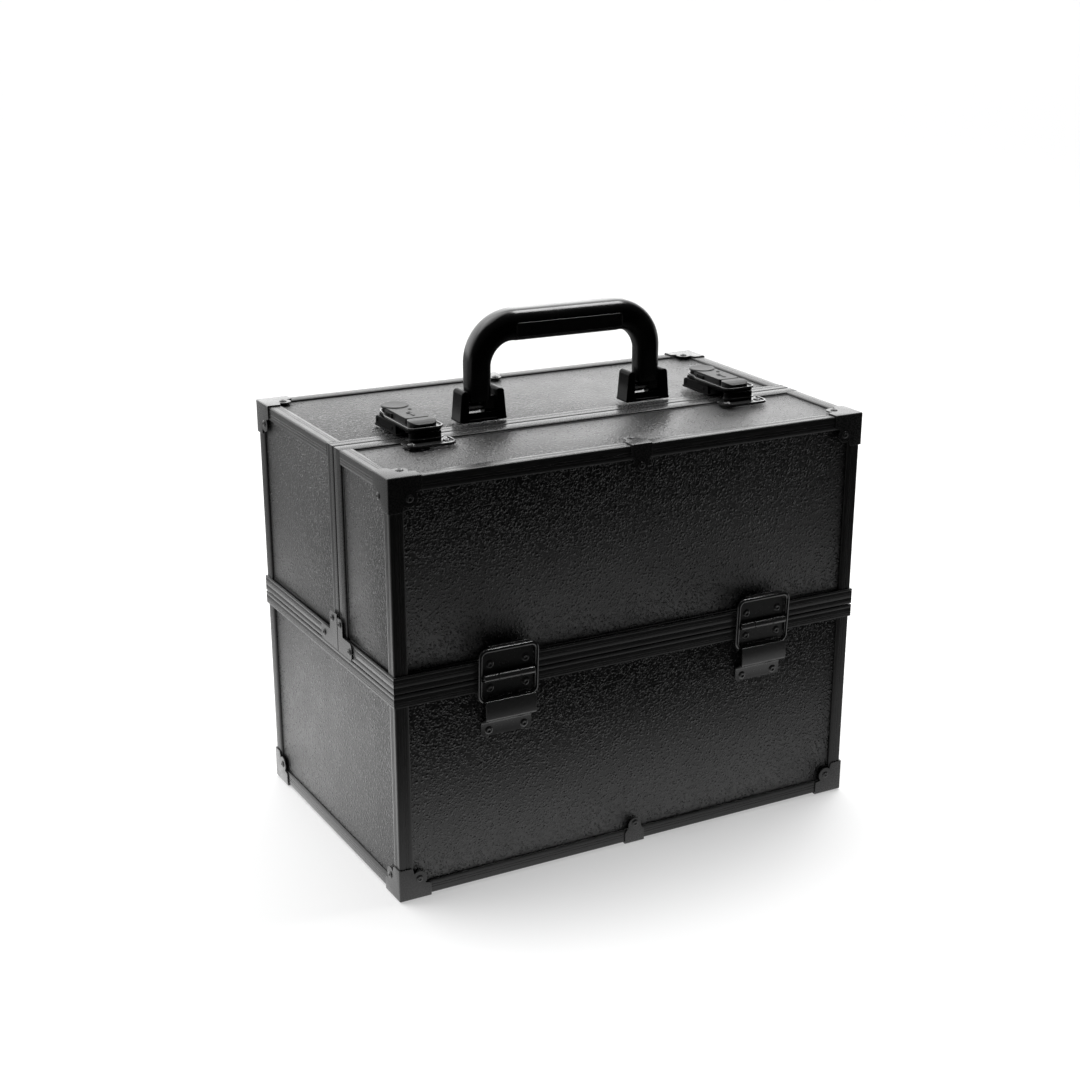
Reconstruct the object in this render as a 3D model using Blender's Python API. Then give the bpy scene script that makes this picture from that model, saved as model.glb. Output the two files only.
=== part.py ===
"""Makeup train case: a leather-grained box with metal edge profiles. Its top is split into a front and a rear lid that open outwards on exposed hinges, and four trays swing out with them on parallel arms.

Row frame: X along the width, the front towards -Y, +Z up, the origin under the middle of the base. All figures below are millimetres.
"""

import math

import bmesh
import bpy
from mathutils import Matrix, Vector

MM = 0.001

# Case envelope, over the corner caps
WIDTH, DEPTH, HEIGHT = 360.0, 226.0, 290.0
HX, HY = WIDTH / 2, DEPTH / 2
PARTING_Z = 148.0
SPLIT_Y = -25.0

# Sheet thicknesses, and the running gap left between pieces that touch
GAP = 0.3
CAP_T = 0.7
PROFILE_T = 1.2
PROFILE_LEG = 10.0
WALL = 4.0

# Depth of each layer under the envelope
PROFILE_IN = CAP_T + GAP
SHELL_IN = PROFILE_IN + PROFILE_T + GAP

# Rim profiles at the parting line
BASE_RIM_LOW, BASE_RIM_TOP = 138.5, PARTING_Z - 0.3
LID_RIM_LOW, LID_RIM_TOP = PARTING_Z + 0.3, 159.6
TONGUE_IN, TONGUE_TOP = 6.1, 149.0

# Corner caps and edge clamps
CAP_LEG, CAP_LOBE, CAP_LOBE_R = 23.0, 14.5, 5.6
CLAMP_W, CLAMP_LEN, CLAMP_RIVET = 15.5, 19.0, 15.0
RIVET_R, RIVET_H = 2.6, 0.8

# Exposed hinges with a wire stay
HINGE_X = 100.0
PIN_U, PIN_Z, PIN_R = 116.0, 148.5, 1.2
KNUCKLE_R, KNUCKLE_BORE = 2.65, 1.5
LEAF_HALF, LEAF_T = 18.5, 1.0
MID_KNUCKLE_HALF = 7.5
STAY_TOP = (116.2, 167.5)
STAY_BOTTOM = (114.6, 131.9)
STAY_HALF, WIRE_R = 20.5, 1.5
BRIDGE_U, BRIDGE_TOP, BRIDGE_LOW, FOOT_LOW = 118.7, 131.0, 118.0, 106.0

# Carrying handle
HANDLE_X, HANDLE_Y, HANDLE_PIVOT_Z = 65.0, -6.0, HEIGHT + 8.0
GRIP_TOP, GRIP_THICK, GRIP_DEPTH = 363.0, 21.5, 20.0
LEG_THICK, LEG_DEPTH, OUTER_BEND = 17.5, 13.0, 35.75
LEG_FOOT_Z = HANDLE_PIVOT_Z + 5.0
BRACKET_FOOT, BRACKET_HEAD, BRACKET_TOP = 36.0, 31.6, 311.0
CHANNEL_HALF = 10.5

# Latches
LATCH_X, LATCH_PIVOT_Y, LATCH_PIVOT_Z = 122.0, 10.0, 293.5
LEVER_LOW, LEVER_STEP, LEVER_TOP = 296.5, 299.0, 303.0
NOSE_SLOPE_FROM, NOSE_SLOPE = 36.5, 0.48
MOUNT_Z = HEIGHT - PROFILE_IN + GAP

# Trays and their swing arms: distances are from the middle of the case towards the side they open to
ARM_PIVOT_Z, LOWER_RISE, UPPER_RISE = 130.0, 50.0, 102.0
ARM_LEAN = {"front": 18.0, "rear": 30.0}
ARM_A, ARM_B = {"front": 66.0, "rear": 56.0}, 86.0
TRAY_SPAN = {"front": (28.5, 98.5), "rear": (-20.0, 98.0)}
TRAY_X, TRAY_WALL, TRAY_DRAFT = 168.0, 1.5, 6.0
LOWER_TRAY_Z, UPPER_TRAY_Z = (168.0, 212.0), (220.0, 266.0)
ARM_IN, ARM_OUT, ARM_HALF = 170.5, 172.0, 5.0

for old in list(bpy.data.objects):
    bpy.data.objects.remove(old, do_unlink=True)
for old in list(bpy.data.collections):
    bpy.data.collections.remove(old)

CASE = bpy.data.collections.new("makeup_train_case")
CUTTERS = bpy.data.collections.new("cutters")
CUTTERS.hide_render = True
bpy.context.scene.collection.children.link(CASE)
bpy.context.scene.collection.children.link(CUTTERS)


def material(name, colour, metallic, roughness):
    made = bpy.data.materials.new(name)
    made.use_nodes = True
    shader = made.node_tree.nodes["Principled BSDF"]
    shader.inputs["Base Color"].default_value = (*colour, 1.0)
    shader.inputs["Metallic"].default_value = metallic
    shader.inputs["Roughness"].default_value = roughness
    return made


# ---- shapes, each a closed bmesh in millimetres ----


def in_place(axis):
    """Turns a shape drawn in XY and pulled along Z so that it runs along this axis, with the drawing in the other two in X, Y, Z order."""
    columns = {
        "x": ((0, 0, 1), (1, 0, 0), (0, 1, 0)),
        "y": ((1, 0, 0), (0, 0, 1), (0, 1, 0)),
        "z": ((1, 0, 0), (0, 1, 0), (0, 0, 1)),
    }[axis]
    return Matrix(columns).to_4x4()


def prism(points, axis, low, high):
    """A flat outline, in the two axes other than this one and in X, Y, Z order, extruded along it."""
    bm = bmesh.new()
    flat = bm.faces.new([bm.verts.new((a, b, low)) for a, b in points])
    pulled = bmesh.ops.extrude_face_region(bm, geom=[flat])
    top = [v for v in pulled["geom"] if isinstance(v, bmesh.types.BMVert)]
    bmesh.ops.translate(bm, verts=top, vec=(0.0, 0.0, high - low))
    bmesh.ops.transform(bm, matrix=in_place(axis), verts=bm.verts)
    bmesh.ops.recalc_face_normals(bm, faces=bm.faces)
    return bm


def box(x0, x1, y0, y1, z0, z1):
    bm = bmesh.new()
    bmesh.ops.create_cube(bm, size=1.0)
    bmesh.ops.scale(bm, vec=(x1 - x0, y1 - y0, z1 - z0), verts=bm.verts)
    middle = ((x0 + x1) / 2, (y0 + y1) / 2, (z0 + z1) / 2)
    bmesh.ops.translate(bm, vec=middle, verts=bm.verts)
    return bm


def block(half_x, y0, y1, z0, z1):
    """A box centred on X."""
    return box(-half_x, half_x, y0, y1, z0, z1)


def arc(centre, radius, start, stop, steps):
    """Points from the start angle to the stop angle, in degrees."""
    angles = [
        math.radians(start + (stop - start) * i / steps) for i in range(steps + 1)
    ]
    return [
        (centre[0] + radius * math.cos(a), centre[1] + radius * math.sin(a))
        for a in angles
    ]


def rod(axis, centre, radius, low, high, steps=12, end_radius=None):
    """A cylinder along the axis, or a cone that ends at another radius."""
    bm = bmesh.new()
    bmesh.ops.create_cone(
        bm,
        cap_ends=True,
        segments=steps,
        radius1=radius,
        radius2=radius if end_radius is None else end_radius,
        depth=abs(high - low),
    )
    if high < low:
        bmesh.ops.rotate(bm, matrix=Matrix.Rotation(math.pi, 3, "X"), verts=bm.verts)
    bmesh.ops.translate(bm, vec=(*centre, (low + high) / 2), verts=bm.verts)
    bmesh.ops.transform(bm, matrix=in_place(axis), verts=bm.verts)
    bmesh.ops.recalc_face_normals(bm, faces=bm.faces)
    return bm


def loft(sections):
    """Rings of the same number of points, skinned in order and capped at both ends."""
    bm = bmesh.new()
    rings = [[bm.verts.new(p) for p in section] for section in sections]
    count = len(rings[0])
    bm.faces.new(rings[0][::-1])
    bm.faces.new(rings[-1])
    for near, far in zip(rings, rings[1:]):
        for i in range(count):
            j = (i + 1) % count
            bm.faces.new((near[i], near[j], far[j], far[i]))
    bmesh.ops.recalc_face_normals(bm, faces=bm.faces)
    return bm


def joined(base, *steps):
    """The base after each (operation, shape) Boolean in turn."""
    def helper(bm):
        mesh = bpy.data.meshes.new("helper")
        bm.to_mesh(mesh)
        bm.free()
        made = bpy.data.objects.new("helper", mesh)
        made.display_type = "WIRE"
        CUTTERS.objects.link(made)
        return made

    body = helper(base)
    tools = []
    for operation, shape in steps:
        tool = helper(shape)
        tools.append(tool)
        boolean = body.modifiers.new(operation.lower(), "BOOLEAN")
        boolean.operation = operation
        boolean.solver = "EXACT"
        boolean.object = tool
    bpy.context.view_layer.update()
    graph = bpy.context.evaluated_depsgraph_get()
    mesh = bpy.data.meshes.new_from_object(body.evaluated_get(graph))
    result = bmesh.new()
    result.from_mesh(mesh)
    bmesh.ops.remove_doubles(result, verts=result.verts, dist=1e-4)
    for made in [body, *tools]:
        bpy.data.objects.remove(made, do_unlink=True)
    return result


def union(*shapes):
    return joined(shapes[0], *[("UNION", shape) for shape in shapes[1:]])


def moved(bm, x=0.0, y=0.0, z=0.0):
    bmesh.ops.translate(bm, verts=bm.verts, vec=Vector((x, y, z)))
    return bm


def mirrored(bm, x=1, y=1, z=1):
    bmesh.ops.scale(bm, verts=bm.verts, vec=Vector((x, y, z)))
    if x * y * z < 0:
        bmesh.ops.reverse_faces(bm, faces=bm.faces)
    return bm


def piece(name, bm, look, pivot=(0.0, 0.0, 0.0)):
    """One sub-part in metres, its origin on the axis it turns about."""
    bmesh.ops.recalc_face_normals(bm, faces=bm.faces)
    mesh = bpy.data.meshes.new(name)
    bm.to_mesh(mesh)
    bm.free()
    mesh.transform(Matrix.Translation(-Vector(pivot)))
    mesh.transform(Matrix.Scale(MM, 4))
    mesh.materials.append(look)
    made = bpy.data.objects.new(name, mesh)
    made.location = Vector(pivot) * MM
    CASE.objects.link(made)
    return made


# ---- finishes ----

LAMINATE = material("grained_laminate", (0.035, 0.035, 0.037), 0.0, 0.5)
PROFILE = material("black_edge_profile", (0.045, 0.045, 0.048), 0.7, 0.38)
HARDWARE = material("black_hardware", (0.03, 0.03, 0.032), 0.8, 0.3)
GLOSS = material("gloss_black_plastic", (0.012, 0.012, 0.013), 0.0, 0.16)
TRAY = material("black_tray_plastic", (0.03, 0.03, 0.032), 0.0, 0.45)
ARM = material("steel_arm", (0.5, 0.5, 0.52), 1.0, 0.35)

LAYER_X = HX - PROFILE_IN
LAYER_Y = HY - PROFILE_IN
SHELL_X = HX - SHELL_IN
SHELL_Y = HY - SHELL_IN

# ---- base ----

shell_top = BASE_RIM_TOP - 1.0 - GAP
piece(
    "base_shell",
    joined(
        block(SHELL_X, -SHELL_Y, SHELL_Y, SHELL_IN, shell_top),
        (
            "DIFFERENCE",
            block(SHELL_X - WALL, WALL - SHELL_Y, SHELL_Y - WALL, SHELL_IN + WALL, HEIGHT),
        ),
    ),
    LAMINATE,
)

# The base's edge profiles: a thin open box with a window cut through each face
FACE_X, FACE_Y = HX - 1 - PROFILE_LEG, HY - 1 - PROFILE_LEG
profile_x, profile_y = LAYER_X - PROFILE_T, LAYER_Y - PROFILE_T
base_edges = joined(
    block(LAYER_X, -LAYER_Y, LAYER_Y, PROFILE_IN, BASE_RIM_LOW + 1.0),
    ("DIFFERENCE", block(profile_x, -profile_y, profile_y, PROFILE_IN + PROFILE_T, HEIGHT)),
    ("DIFFERENCE", block(HX + 5, -FACE_Y, FACE_Y, 1 + PROFILE_LEG, HEIGHT)),
    ("DIFFERENCE", block(FACE_X, -HY - 5, HY + 5, 1 + PROFILE_LEG, HEIGHT)),
    ("DIFFERENCE", block(FACE_X, -FACE_Y, FACE_Y, -5, 6)),
)


def ring(outer, inner, low, high):
    """A rectangular ring, its outer and inner faces this far inside the envelope."""
    return joined(
        block(HX - outer, outer - HY, HY - outer, low, high),
        ("DIFFERENCE", block(HX - inner, inner - HY, HY - inner, low - 1, high + 1)),
    )


# The rim profile: an outer leg with a groove, a top leg and the tongue that the lids close round
base_top = joined(
    ring(0.0, PROFILE_T, BASE_RIM_LOW, BASE_RIM_TOP),
    ("UNION", ring(0.4, TONGUE_IN + 1.0, BASE_RIM_TOP - 1.0, BASE_RIM_TOP)),
    ("UNION", ring(TONGUE_IN, TONGUE_IN + 1.0, BASE_RIM_TOP - 0.6, TONGUE_TOP)),
    ("DIFFERENCE", ring(-5.0, 0.5, 142.4, 143.4)),
    ("UNION", base_edges),
)
piece("base_frame", base_top, PROFILE)

# ---- corner caps, clamps and side plates ----

CAP_OUTLINE = (
    [(0.0, 0.0), (CAP_LEG, 0.0), (CAP_LEG, 9.5), (CAP_LEG - 1.6, 10.3)]
    + arc((CAP_LOBE, CAP_LOBE), CAP_LOBE_R, -45, 135, 7)
    + [(10.3, CAP_LEG - 1.6), (9.5, CAP_LEG), (0.0, CAP_LEG)]
)


def rivet(axis, centre, low, high):
    """A head that narrows outwards, sunk a little into the plate it sits on."""
    sunk = low - math.copysign(0.4, high - low)
    return rod(axis, centre, RIVET_R, sunk, high, 8, RIVET_R * 0.7)


def corner_cap(x_side, y_side, z_side):
    """Three thin plates meeting at a corner of the envelope, with a rivet on each face but the underside."""
    top = z_side > 0

    def height(t):
        return HEIGHT - t if top else t

    flat = [(HX - s, HY - t) for s, t in CAP_OUTLINE]
    on_x = [(HY - s, height(t)) for s, t in CAP_OUTLINE]
    on_y = [(HX - s, height(t)) for s, t in CAP_OUTLINE]
    shapes = [
        prism(flat, "z", height(CAP_T), height(0.0)),
        prism(on_x, "x", HX - CAP_T, HX),
        prism(on_y, "y", HY - CAP_T, HY),
        rivet("x", (HY - CAP_LOBE, height(CAP_LOBE)), HX, HX + RIVET_H),
        rivet("y", (HX - CAP_LOBE, height(CAP_LOBE)), HY, HY + RIVET_H),
    ]
    if top:
        shapes.append(
            rivet("z", (HX - CAP_LOBE, HY - CAP_LOBE), HEIGHT, HEIGHT + RIVET_H)
        )
    return mirrored(union(*shapes), x=x_side, y=y_side)


def clamp_outline():
    half, tip = CLAMP_W / 2, 5.2
    return (
        [(half, 0.0), (half, PROFILE_LEG - 1.0), (tip, PROFILE_LEG + 1.0)]
        + arc((0.0, CLAMP_LEN - tip), tip, 0, 180, 8)
        + [(-tip, PROFILE_LEG + 1.0), (-half, PROFILE_LEG - 1.0), (-half, 0.0)]
    )


def edge_clamp(y_side, top):
    """A saddle over the middle of a long edge, riveted on both faces, or on the upright one only under the base."""
    def height(t):
        return HEIGHT - t if top else t

    outline = clamp_outline()
    shapes = [
        prism([(s, HY - t) for s, t in outline], "z", height(CAP_T), height(0.0)),
        prism([(s, height(t)) for s, t in outline], "y", HY - CAP_T, HY),
        rivet("y", (0.0, height(CLAMP_RIVET)), HY, HY + RIVET_H),
    ]
    if top:
        shapes.append(rivet("z", (0.0, HY - CLAMP_RIVET), HEIGHT, HEIGHT + RIVET_H))
    return mirrored(union(*shapes), y=y_side)


for x_side, across in ((-1, "left"), (1, "right")):
    for y_side, along in ((-1, "front"), (1, "rear")):
        piece(f"base_cap_{along}_{across}", corner_cap(x_side, y_side, -1), HARDWARE)
        piece(f"{along}_lid_cap_{across}", corner_cap(x_side, y_side, 1), HARDWARE)
piece("base_front_clamp", edge_clamp(-1, False), HARDWARE)
piece("front_lid_clamp", edge_clamp(-1, True), HARDWARE)
piece("rear_lid_clamp", edge_clamp(1, True), HARDWARE)

PLATE_LOW, PLATE_T = LID_RIM_LOW + 0.2, 0.8
REAR_PLATE = [
    (SPLIT_Y + 0.4, PLATE_LOW),
    (2.5, PLATE_LOW),
    (4.0, PLATE_LOW + 1.5),
    (4.0, 158.3),
    (2.5, 159.8),
    (-12.5, 159.8),
    (-12.0, 161.0),
    (-12.0, 172.0),
    (-14.0, 174.0),
    (SPLIT_Y + 0.4, 174.0),
]
FRONT_PLATE = [
    (SPLIT_Y - 0.4, PLATE_LOW),
    (SPLIT_Y - 0.4, 172.0),
    (-31.5, 172.0),
    (-33.5, 170.0),
    (-33.5, 162.0),
    (-34.2, 160.5),
    (-46.5, 160.5),
    (-48.0, 159.0),
    (-48.0, PLATE_LOW + 1.5),
    (-46.5, PLATE_LOW),
]


def side_plate(x_side, outline, rivets):
    face = HX + GAP
    shapes = [prism(outline, "x", face, face + PLATE_T)]
    shapes += [
        rivet("x", spot, face + PLATE_T, face + PLATE_T + RIVET_H) for spot in rivets
    ]
    return mirrored(union(*shapes), x=x_side)


for x_side, across in ((-1, "left"), (1, "right")):
    piece(
        f"rear_lid_plate_{across}",
        side_plate(x_side, REAR_PLATE, [(-16.8, 169.6), (-1.7, 154.3)]),
        HARDWARE,
    )
    piece(
        f"front_lid_plate_{across}",
        side_plate(x_side, FRONT_PLATE, [(-29.3, 168.4), (-44.5, 154.4)]),
        HARDWARE,
    )

# ---- lids ----

LID_SHELL_LOW = LID_RIM_LOW + 1.0 + GAP
SHELL_TOP = HEIGHT - SHELL_IN
FRAME_TOP = HEIGHT - PROFILE_IN


def lid(side):
    """The shell, edge frame and rim of one lid, built towards +Y with its open edge at the split."""
    y_side = -1 if side == "front" else 1
    split = SPLIT_Y * y_side + 0.5
    band = split + 11.0
    inner = split + PROFILE_T + GAP
    shell = joined(
        block(SHELL_X, inner, SHELL_Y, LID_SHELL_LOW, SHELL_TOP),
        (
            "DIFFERENCE",
            block(SHELL_X - WALL, inner - 5, SHELL_Y - WALL, 0.0, SHELL_TOP - WALL),
        ),
    )
    top_leg = HEIGHT - 1 - PROFILE_LEG
    edge = joined(
        block(LAYER_X, split, LAYER_Y, LID_RIM_TOP + GAP, FRAME_TOP),
        ("DIFFERENCE", block(profile_x, split + PROFILE_T, profile_y, 0.0, FRAME_TOP - PROFILE_T)),
        ("DIFFERENCE", block(HX + 5, band, FACE_Y, 0.0, top_leg)),
        ("DIFFERENCE", block(FACE_X, FACE_Y + 2, HY + 5, 0.0, top_leg)),
        ("DIFFERENCE", block(FACE_X, band, FACE_Y, top_leg + 2, HEIGHT + 5)),
        ("DIFFERENCE", block(172.6, split - 5, split + 5, 0.0, 282.4)),
    )

    def corner_box(outer, low, high):
        return block(HX - outer, split - 5, HY - outer, low, high)

    groove = joined(
        block(HX + 5, split - 6, HY + 5, 153.5, 154.5),
        ("DIFFERENCE", block(HX - 0.5, split - 7, HY - 0.5, 150.0, 158.0)),
    )
    rim_body = joined(
        block(HX, split, HY, LID_RIM_LOW, LID_RIM_TOP),
        ("DIFFERENCE", corner_box(PROFILE_T, LID_RIM_LOW + 1.0, HEIGHT)),
        ("DIFFERENCE", corner_box(5.5, 0.0, HEIGHT)),
        ("DIFFERENCE", groove),
    )
    pivot = (0.0, PIN_U * y_side, PIN_Z)
    piece(f"{side}_lid_shell", mirrored(shell, y=y_side), LAMINATE, pivot)
    piece(f"{side}_lid_edge_frame", mirrored(edge, y=y_side), PROFILE, pivot)
    piece(f"{side}_lid_rim", mirrored(rim_body, y=y_side), PROFILE, pivot)


lid("front")
lid("rear")

# ---- hinges and wire stays ----


def rounded(x0, x1, z0, z1, radius, steps=3):
    """A rectangle with rounded corners, anticlockwise."""
    points = []
    for cx, cz, start in (
        (x1 - radius, z1 - radius, 0),
        (x0 + radius, z1 - radius, 90),
        (x0 + radius, z0 + radius, 180),
        (x1 - radius, z0 + radius, 270),
    ):
        points += arc((cx, cz), radius, start, start + 90, steps)
    return points


LEAF_IN = HY + GAP
LEAF_OUT = LEAF_IN + LEAF_T


def lid_leaf():
    """The upper leaf: two outer knuckles, the plate, and the curl that holds the stay's top bar."""
    gap = MID_KNUCKLE_HALF + GAP
    plate = [
        (-LEAF_HALF, PIN_Z),
        (-gap, PIN_Z),
        (-gap, PIN_Z + 3.0),
        (gap, PIN_Z + 3.0),
        (gap, PIN_Z),
        (LEAF_HALF, PIN_Z),
        (LEAF_HALF, 162.5),
        (14.0, 164.5),
        (14.0, STAY_TOP[1]),
        (-14.0, STAY_TOP[1]),
        (-14.0, 164.5),
        (-LEAF_HALF, 162.5),
    ]
    shapes = [prism(plate, "y", LEAF_IN, LEAF_OUT)]
    for low, high in ((-LEAF_HALF, -gap), (gap, LEAF_HALF)):
        shapes.append(rod("x", (PIN_U, PIN_Z), KNUCKLE_R, low, high))
    shapes.append(rod("x", STAY_TOP, WIRE_R + 1.25, -14.0, 14.0))
    for x in (-13.0, 13.0):
        shapes.append(rivet("y", (x, 157.2), LEAF_OUT, LEAF_OUT + RIVET_H))
    body = union(*shapes)
    return joined(
        body,
        ("DIFFERENCE", rod("x", (PIN_U, PIN_Z), KNUCKLE_BORE, -30, 30, 12)),
        ("DIFFERENCE", rod("x", STAY_TOP, WIRE_R + GAP, -30, 30, 12)),
    )


def base_leaf():
    """The lower leaf: the middle knuckle and the pin, the plate, and the raised bridge the stay's bottom bar slides behind."""
    half = MID_KNUCKLE_HALF
    low = BRIDGE_TOP + 3.6
    plate = [
        (-LEAF_HALF, low + 2.5),
        (-LEAF_HALF + 2.5, low),
        (LEAF_HALF - 2.5, low),
        (LEAF_HALF, low + 2.5),
        (LEAF_HALF, PIN_Z - 3.0),
        (half, PIN_Z - 3.0),
        (half, PIN_Z),
        (-half, PIN_Z),
        (-half, PIN_Z - 3.0),
        (-LEAF_HALF, PIN_Z - 3.0),
    ]
    shapes = [
        prism(plate, "y", LEAF_IN, LEAF_OUT),
        rod("x", (PIN_U, PIN_Z), KNUCKLE_R, -half, half),
        rod("x", (PIN_U, PIN_Z), PIN_R, -LEAF_HALF, LEAF_HALF, 12),
    ]
    for x in (-13.0, 13.0):
        shapes.append(rivet("y", (x, 140.4), LEAF_OUT, LEAF_OUT + RIVET_H))
    return union(*shapes)


def stay_bridge():
    """The lower plate: a foot riveted to the wall, stepped out into the bridge."""
    wall = SHELL_Y + GAP
    profile = [
        (wall, FOOT_LOW),
        (wall + LEAF_T, FOOT_LOW),
        (wall + LEAF_T, BRIDGE_LOW - 3.0),
        (BRIDGE_U + LEAF_T, BRIDGE_LOW + 2.0),
        (BRIDGE_U + LEAF_T, BRIDGE_TOP),
        (BRIDGE_U, BRIDGE_TOP),
        (BRIDGE_U, BRIDGE_LOW + 2.6),
        (wall, BRIDGE_LOW - 2.2),
    ]
    shapes = [prism(profile, "x", -LEAF_HALF, LEAF_HALF)]
    for x in (-13.0, 13.0):
        shapes.append(
            rivet("y", (x, 110.5), wall + LEAF_T, wall + LEAF_T + RIVET_H)
        )
    return union(*shapes)


def stay(name, x, y_side):
    """A closed wire loop. Its top bar turns in the curl and its bottom bar rides behind the bridge."""
    top, bottom = Vector((0, *STAY_TOP)), Vector((0, *STAY_BOTTOM))
    up = (top - bottom).normalized()
    outline = rounded(-STAY_HALF, STAY_HALF, 0.0, (top - bottom).length, 4.5, 3)
    curve = bpy.data.curves.new(name, "CURVE")
    curve.dimensions = "3D"
    curve.bevel_depth = WIRE_R * MM
    curve.bevel_resolution = 1
    curve.use_fill_caps = True
    spline = curve.splines.new("POLY")
    spline.points.add(len(outline) - 1)
    spline.use_cyclic_u = True
    for point, (across, rise) in zip(spline.points, outline):
        spot = bottom + Vector((across, 0, 0)) + up * rise - top
        point.co = (spot.x * MM, spot.y * y_side * MM, spot.z * MM, 1.0)
    curve.materials.append(HARDWARE)
    wire = bpy.data.objects.new(name, curve)
    wire.location = Vector((x, top.y * y_side, top.z)) * MM
    CASE.objects.link(wire)


for y_side, side in ((-1, "front"), (1, "rear")):
    for x_side, across in ((-1, "left"), (1, "right")):
        x = HINGE_X * x_side
        pin = (x, PIN_U * y_side, PIN_Z)
        piece(f"{side}_hinge_{across}_leaf", moved(mirrored(lid_leaf(), y=y_side), x=x), HARDWARE, pin)
        piece(f"{side}_hinge_{across}_base_leaf", moved(mirrored(base_leaf(), y=y_side), x=x), HARDWARE)
        piece(f"{side}_stay_{across}_bridge", moved(mirrored(stay_bridge(), y=y_side), x=x), HARDWARE)
        stay(f"{side}_stay_{across}", x, y_side)

# ---- handle ----


def handle_section(point, tangent, thick, depth):
    """A rounded section across the handle's path, which lies in the XZ plane."""
    normal = Vector((tangent.z, 0.0, -tangent.x))
    corner = 0.36 * min(thick, depth)
    ring = rounded(-thick / 2, thick / 2, -depth / 2, depth / 2, corner, 2)
    return [point + normal * a + Vector((0.0, b, 0.0)) for a, b in ring]


def handle_grip():
    """A round-cornered arch, thicker across the top than down the legs, its outer side a plain quarter circle at each bend."""
    centre_x = 75.0 - LEG_THICK / 2
    bend = Vector((75.0 - OUTER_BEND, 0, GRIP_TOP - OUTER_BEND))
    up = Vector((0, 0, 1))
    stations = [
        (Vector((centre_x, 0, LEG_FOOT_Z)), up, LEG_THICK, LEG_DEPTH),
        (Vector((centre_x, 0, LEG_FOOT_Z + 6)), up, LEG_THICK, LEG_DEPTH + 1.0),
    ]
    for i in range(8):
        angle = math.radians(90 * i / 7)
        out = Vector((math.cos(angle), 0, math.sin(angle)))
        thick = LEG_THICK + (GRIP_THICK - LEG_THICK) * i / 7
        depth = LEG_DEPTH + 2.5 + (GRIP_DEPTH - LEG_DEPTH - 2.5) * i / 7
        tangent = Vector((-out.z, 0, out.x))
        stations.append((bend + out * (OUTER_BEND - thick / 2), tangent, thick, depth))
    half = stations + [
        (Vector((-p.x, 0, p.z)), Vector((t.x, 0, -t.z)), w, d) for p, t, w, d in reversed(stations)
    ]
    grip = moved(
        loft([handle_section(*station) for station in half]), y=HANDLE_Y
    )
    shapes = [grip]
    for x_side in (-1, 1):
        middle = HANDLE_X * x_side
        lug = (
            [(HANDLE_Y - 4.6, LEG_FOOT_Z + 3.0), (HANDLE_Y - 4.6, HANDLE_PIVOT_Z)]
            + arc((HANDLE_Y, HANDLE_PIVOT_Z), 4.6, 195, 345, 6)
            + [(HANDLE_Y + 4.6, HANDLE_PIVOT_Z), (HANDLE_Y + 4.6, LEG_FOOT_Z + 3.0)]
        )
        shapes.append(prism(lug, "x", middle - 0.5, middle + 8.5))
    face = HANDLE_Y - GRIP_DEPTH / 2
    panel = rounded(-41.0, 41.0, 345.2, 354.6, 1.5, 2)
    shapes.append(prism(panel, "y", face - 0.5, face + 1.5))
    body = union(*shapes)
    return joined(
        body,
        ("DIFFERENCE", rod("x", (HANDLE_Y, HANDLE_PIVOT_Z), 2.3, -90, 90, 16)),
    )


def handle_bracket():
    foot, head = BRACKET_FOOT / 2, BRACKET_HEAD / 2
    shell = [(-foot, MOUNT_Z), (foot, MOUNT_Z), (foot, MOUNT_Z + 2.0)]
    shell += [(foot - 1.5, MOUNT_Z + 2.4), (head + 0.4, BRACKET_TOP - 3.0), (head - 1.5, BRACKET_TOP)]
    shell += [(CHANNEL_HALF + 1.2, BRACKET_TOP), (CHANNEL_HALF, BRACKET_TOP - 1.5)]
    shell += [(CHANNEL_HALF, MOUNT_Z + 2.2), (-CHANNEL_HALF, MOUNT_Z + 2.2)]
    shell += [(-CHANNEL_HALF, BRACKET_TOP - 1.5), (-CHANNEL_HALF - 1.2, BRACKET_TOP)]
    shell += [(-head + 1.5, BRACKET_TOP), (-head - 0.4, BRACKET_TOP - 3.0), (-foot + 1.5, MOUNT_Z + 2.4)]
    shell += [(-foot, MOUNT_Z + 2.0)]
    return union(
        prism(shell, "y", HANDLE_Y - 7.4, HANDLE_Y + 7.4),
        rod("x", (HANDLE_Y, HANDLE_PIVOT_Z), 2.0, -CHANNEL_HALF - 2.0, CHANNEL_HALF + 2.0),
    )


handle_axis = (0.0, HANDLE_Y, HANDLE_PIVOT_Z)
piece("handle_grip", handle_grip(), GLOSS, handle_axis)
for x_side, across in ((-1, "left"), (1, "right")):
    x = HANDLE_X * x_side
    piece(f"handle_bracket_{across}", moved(handle_bracket(), x=x), GLOSS)

# ---- latches ----


def lever_outline(extra, nose):
    """The lever from above: a round rear end, waisted into a wider body with a clipped nose."""
    rear, side = 8.75 + extra, 11.5 + extra
    return (
        [(-side + 3.0, nose), (side - 3.0, nose), (side, nose + 4.0), (side, -6.0), (rear, 0.0)]
        + arc((0.0, 5.0), rear, 0, 180, 10)
        + [(-rear, 0.0), (-side, -6.0), (-side, nose + 4.0)]
    )


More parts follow.
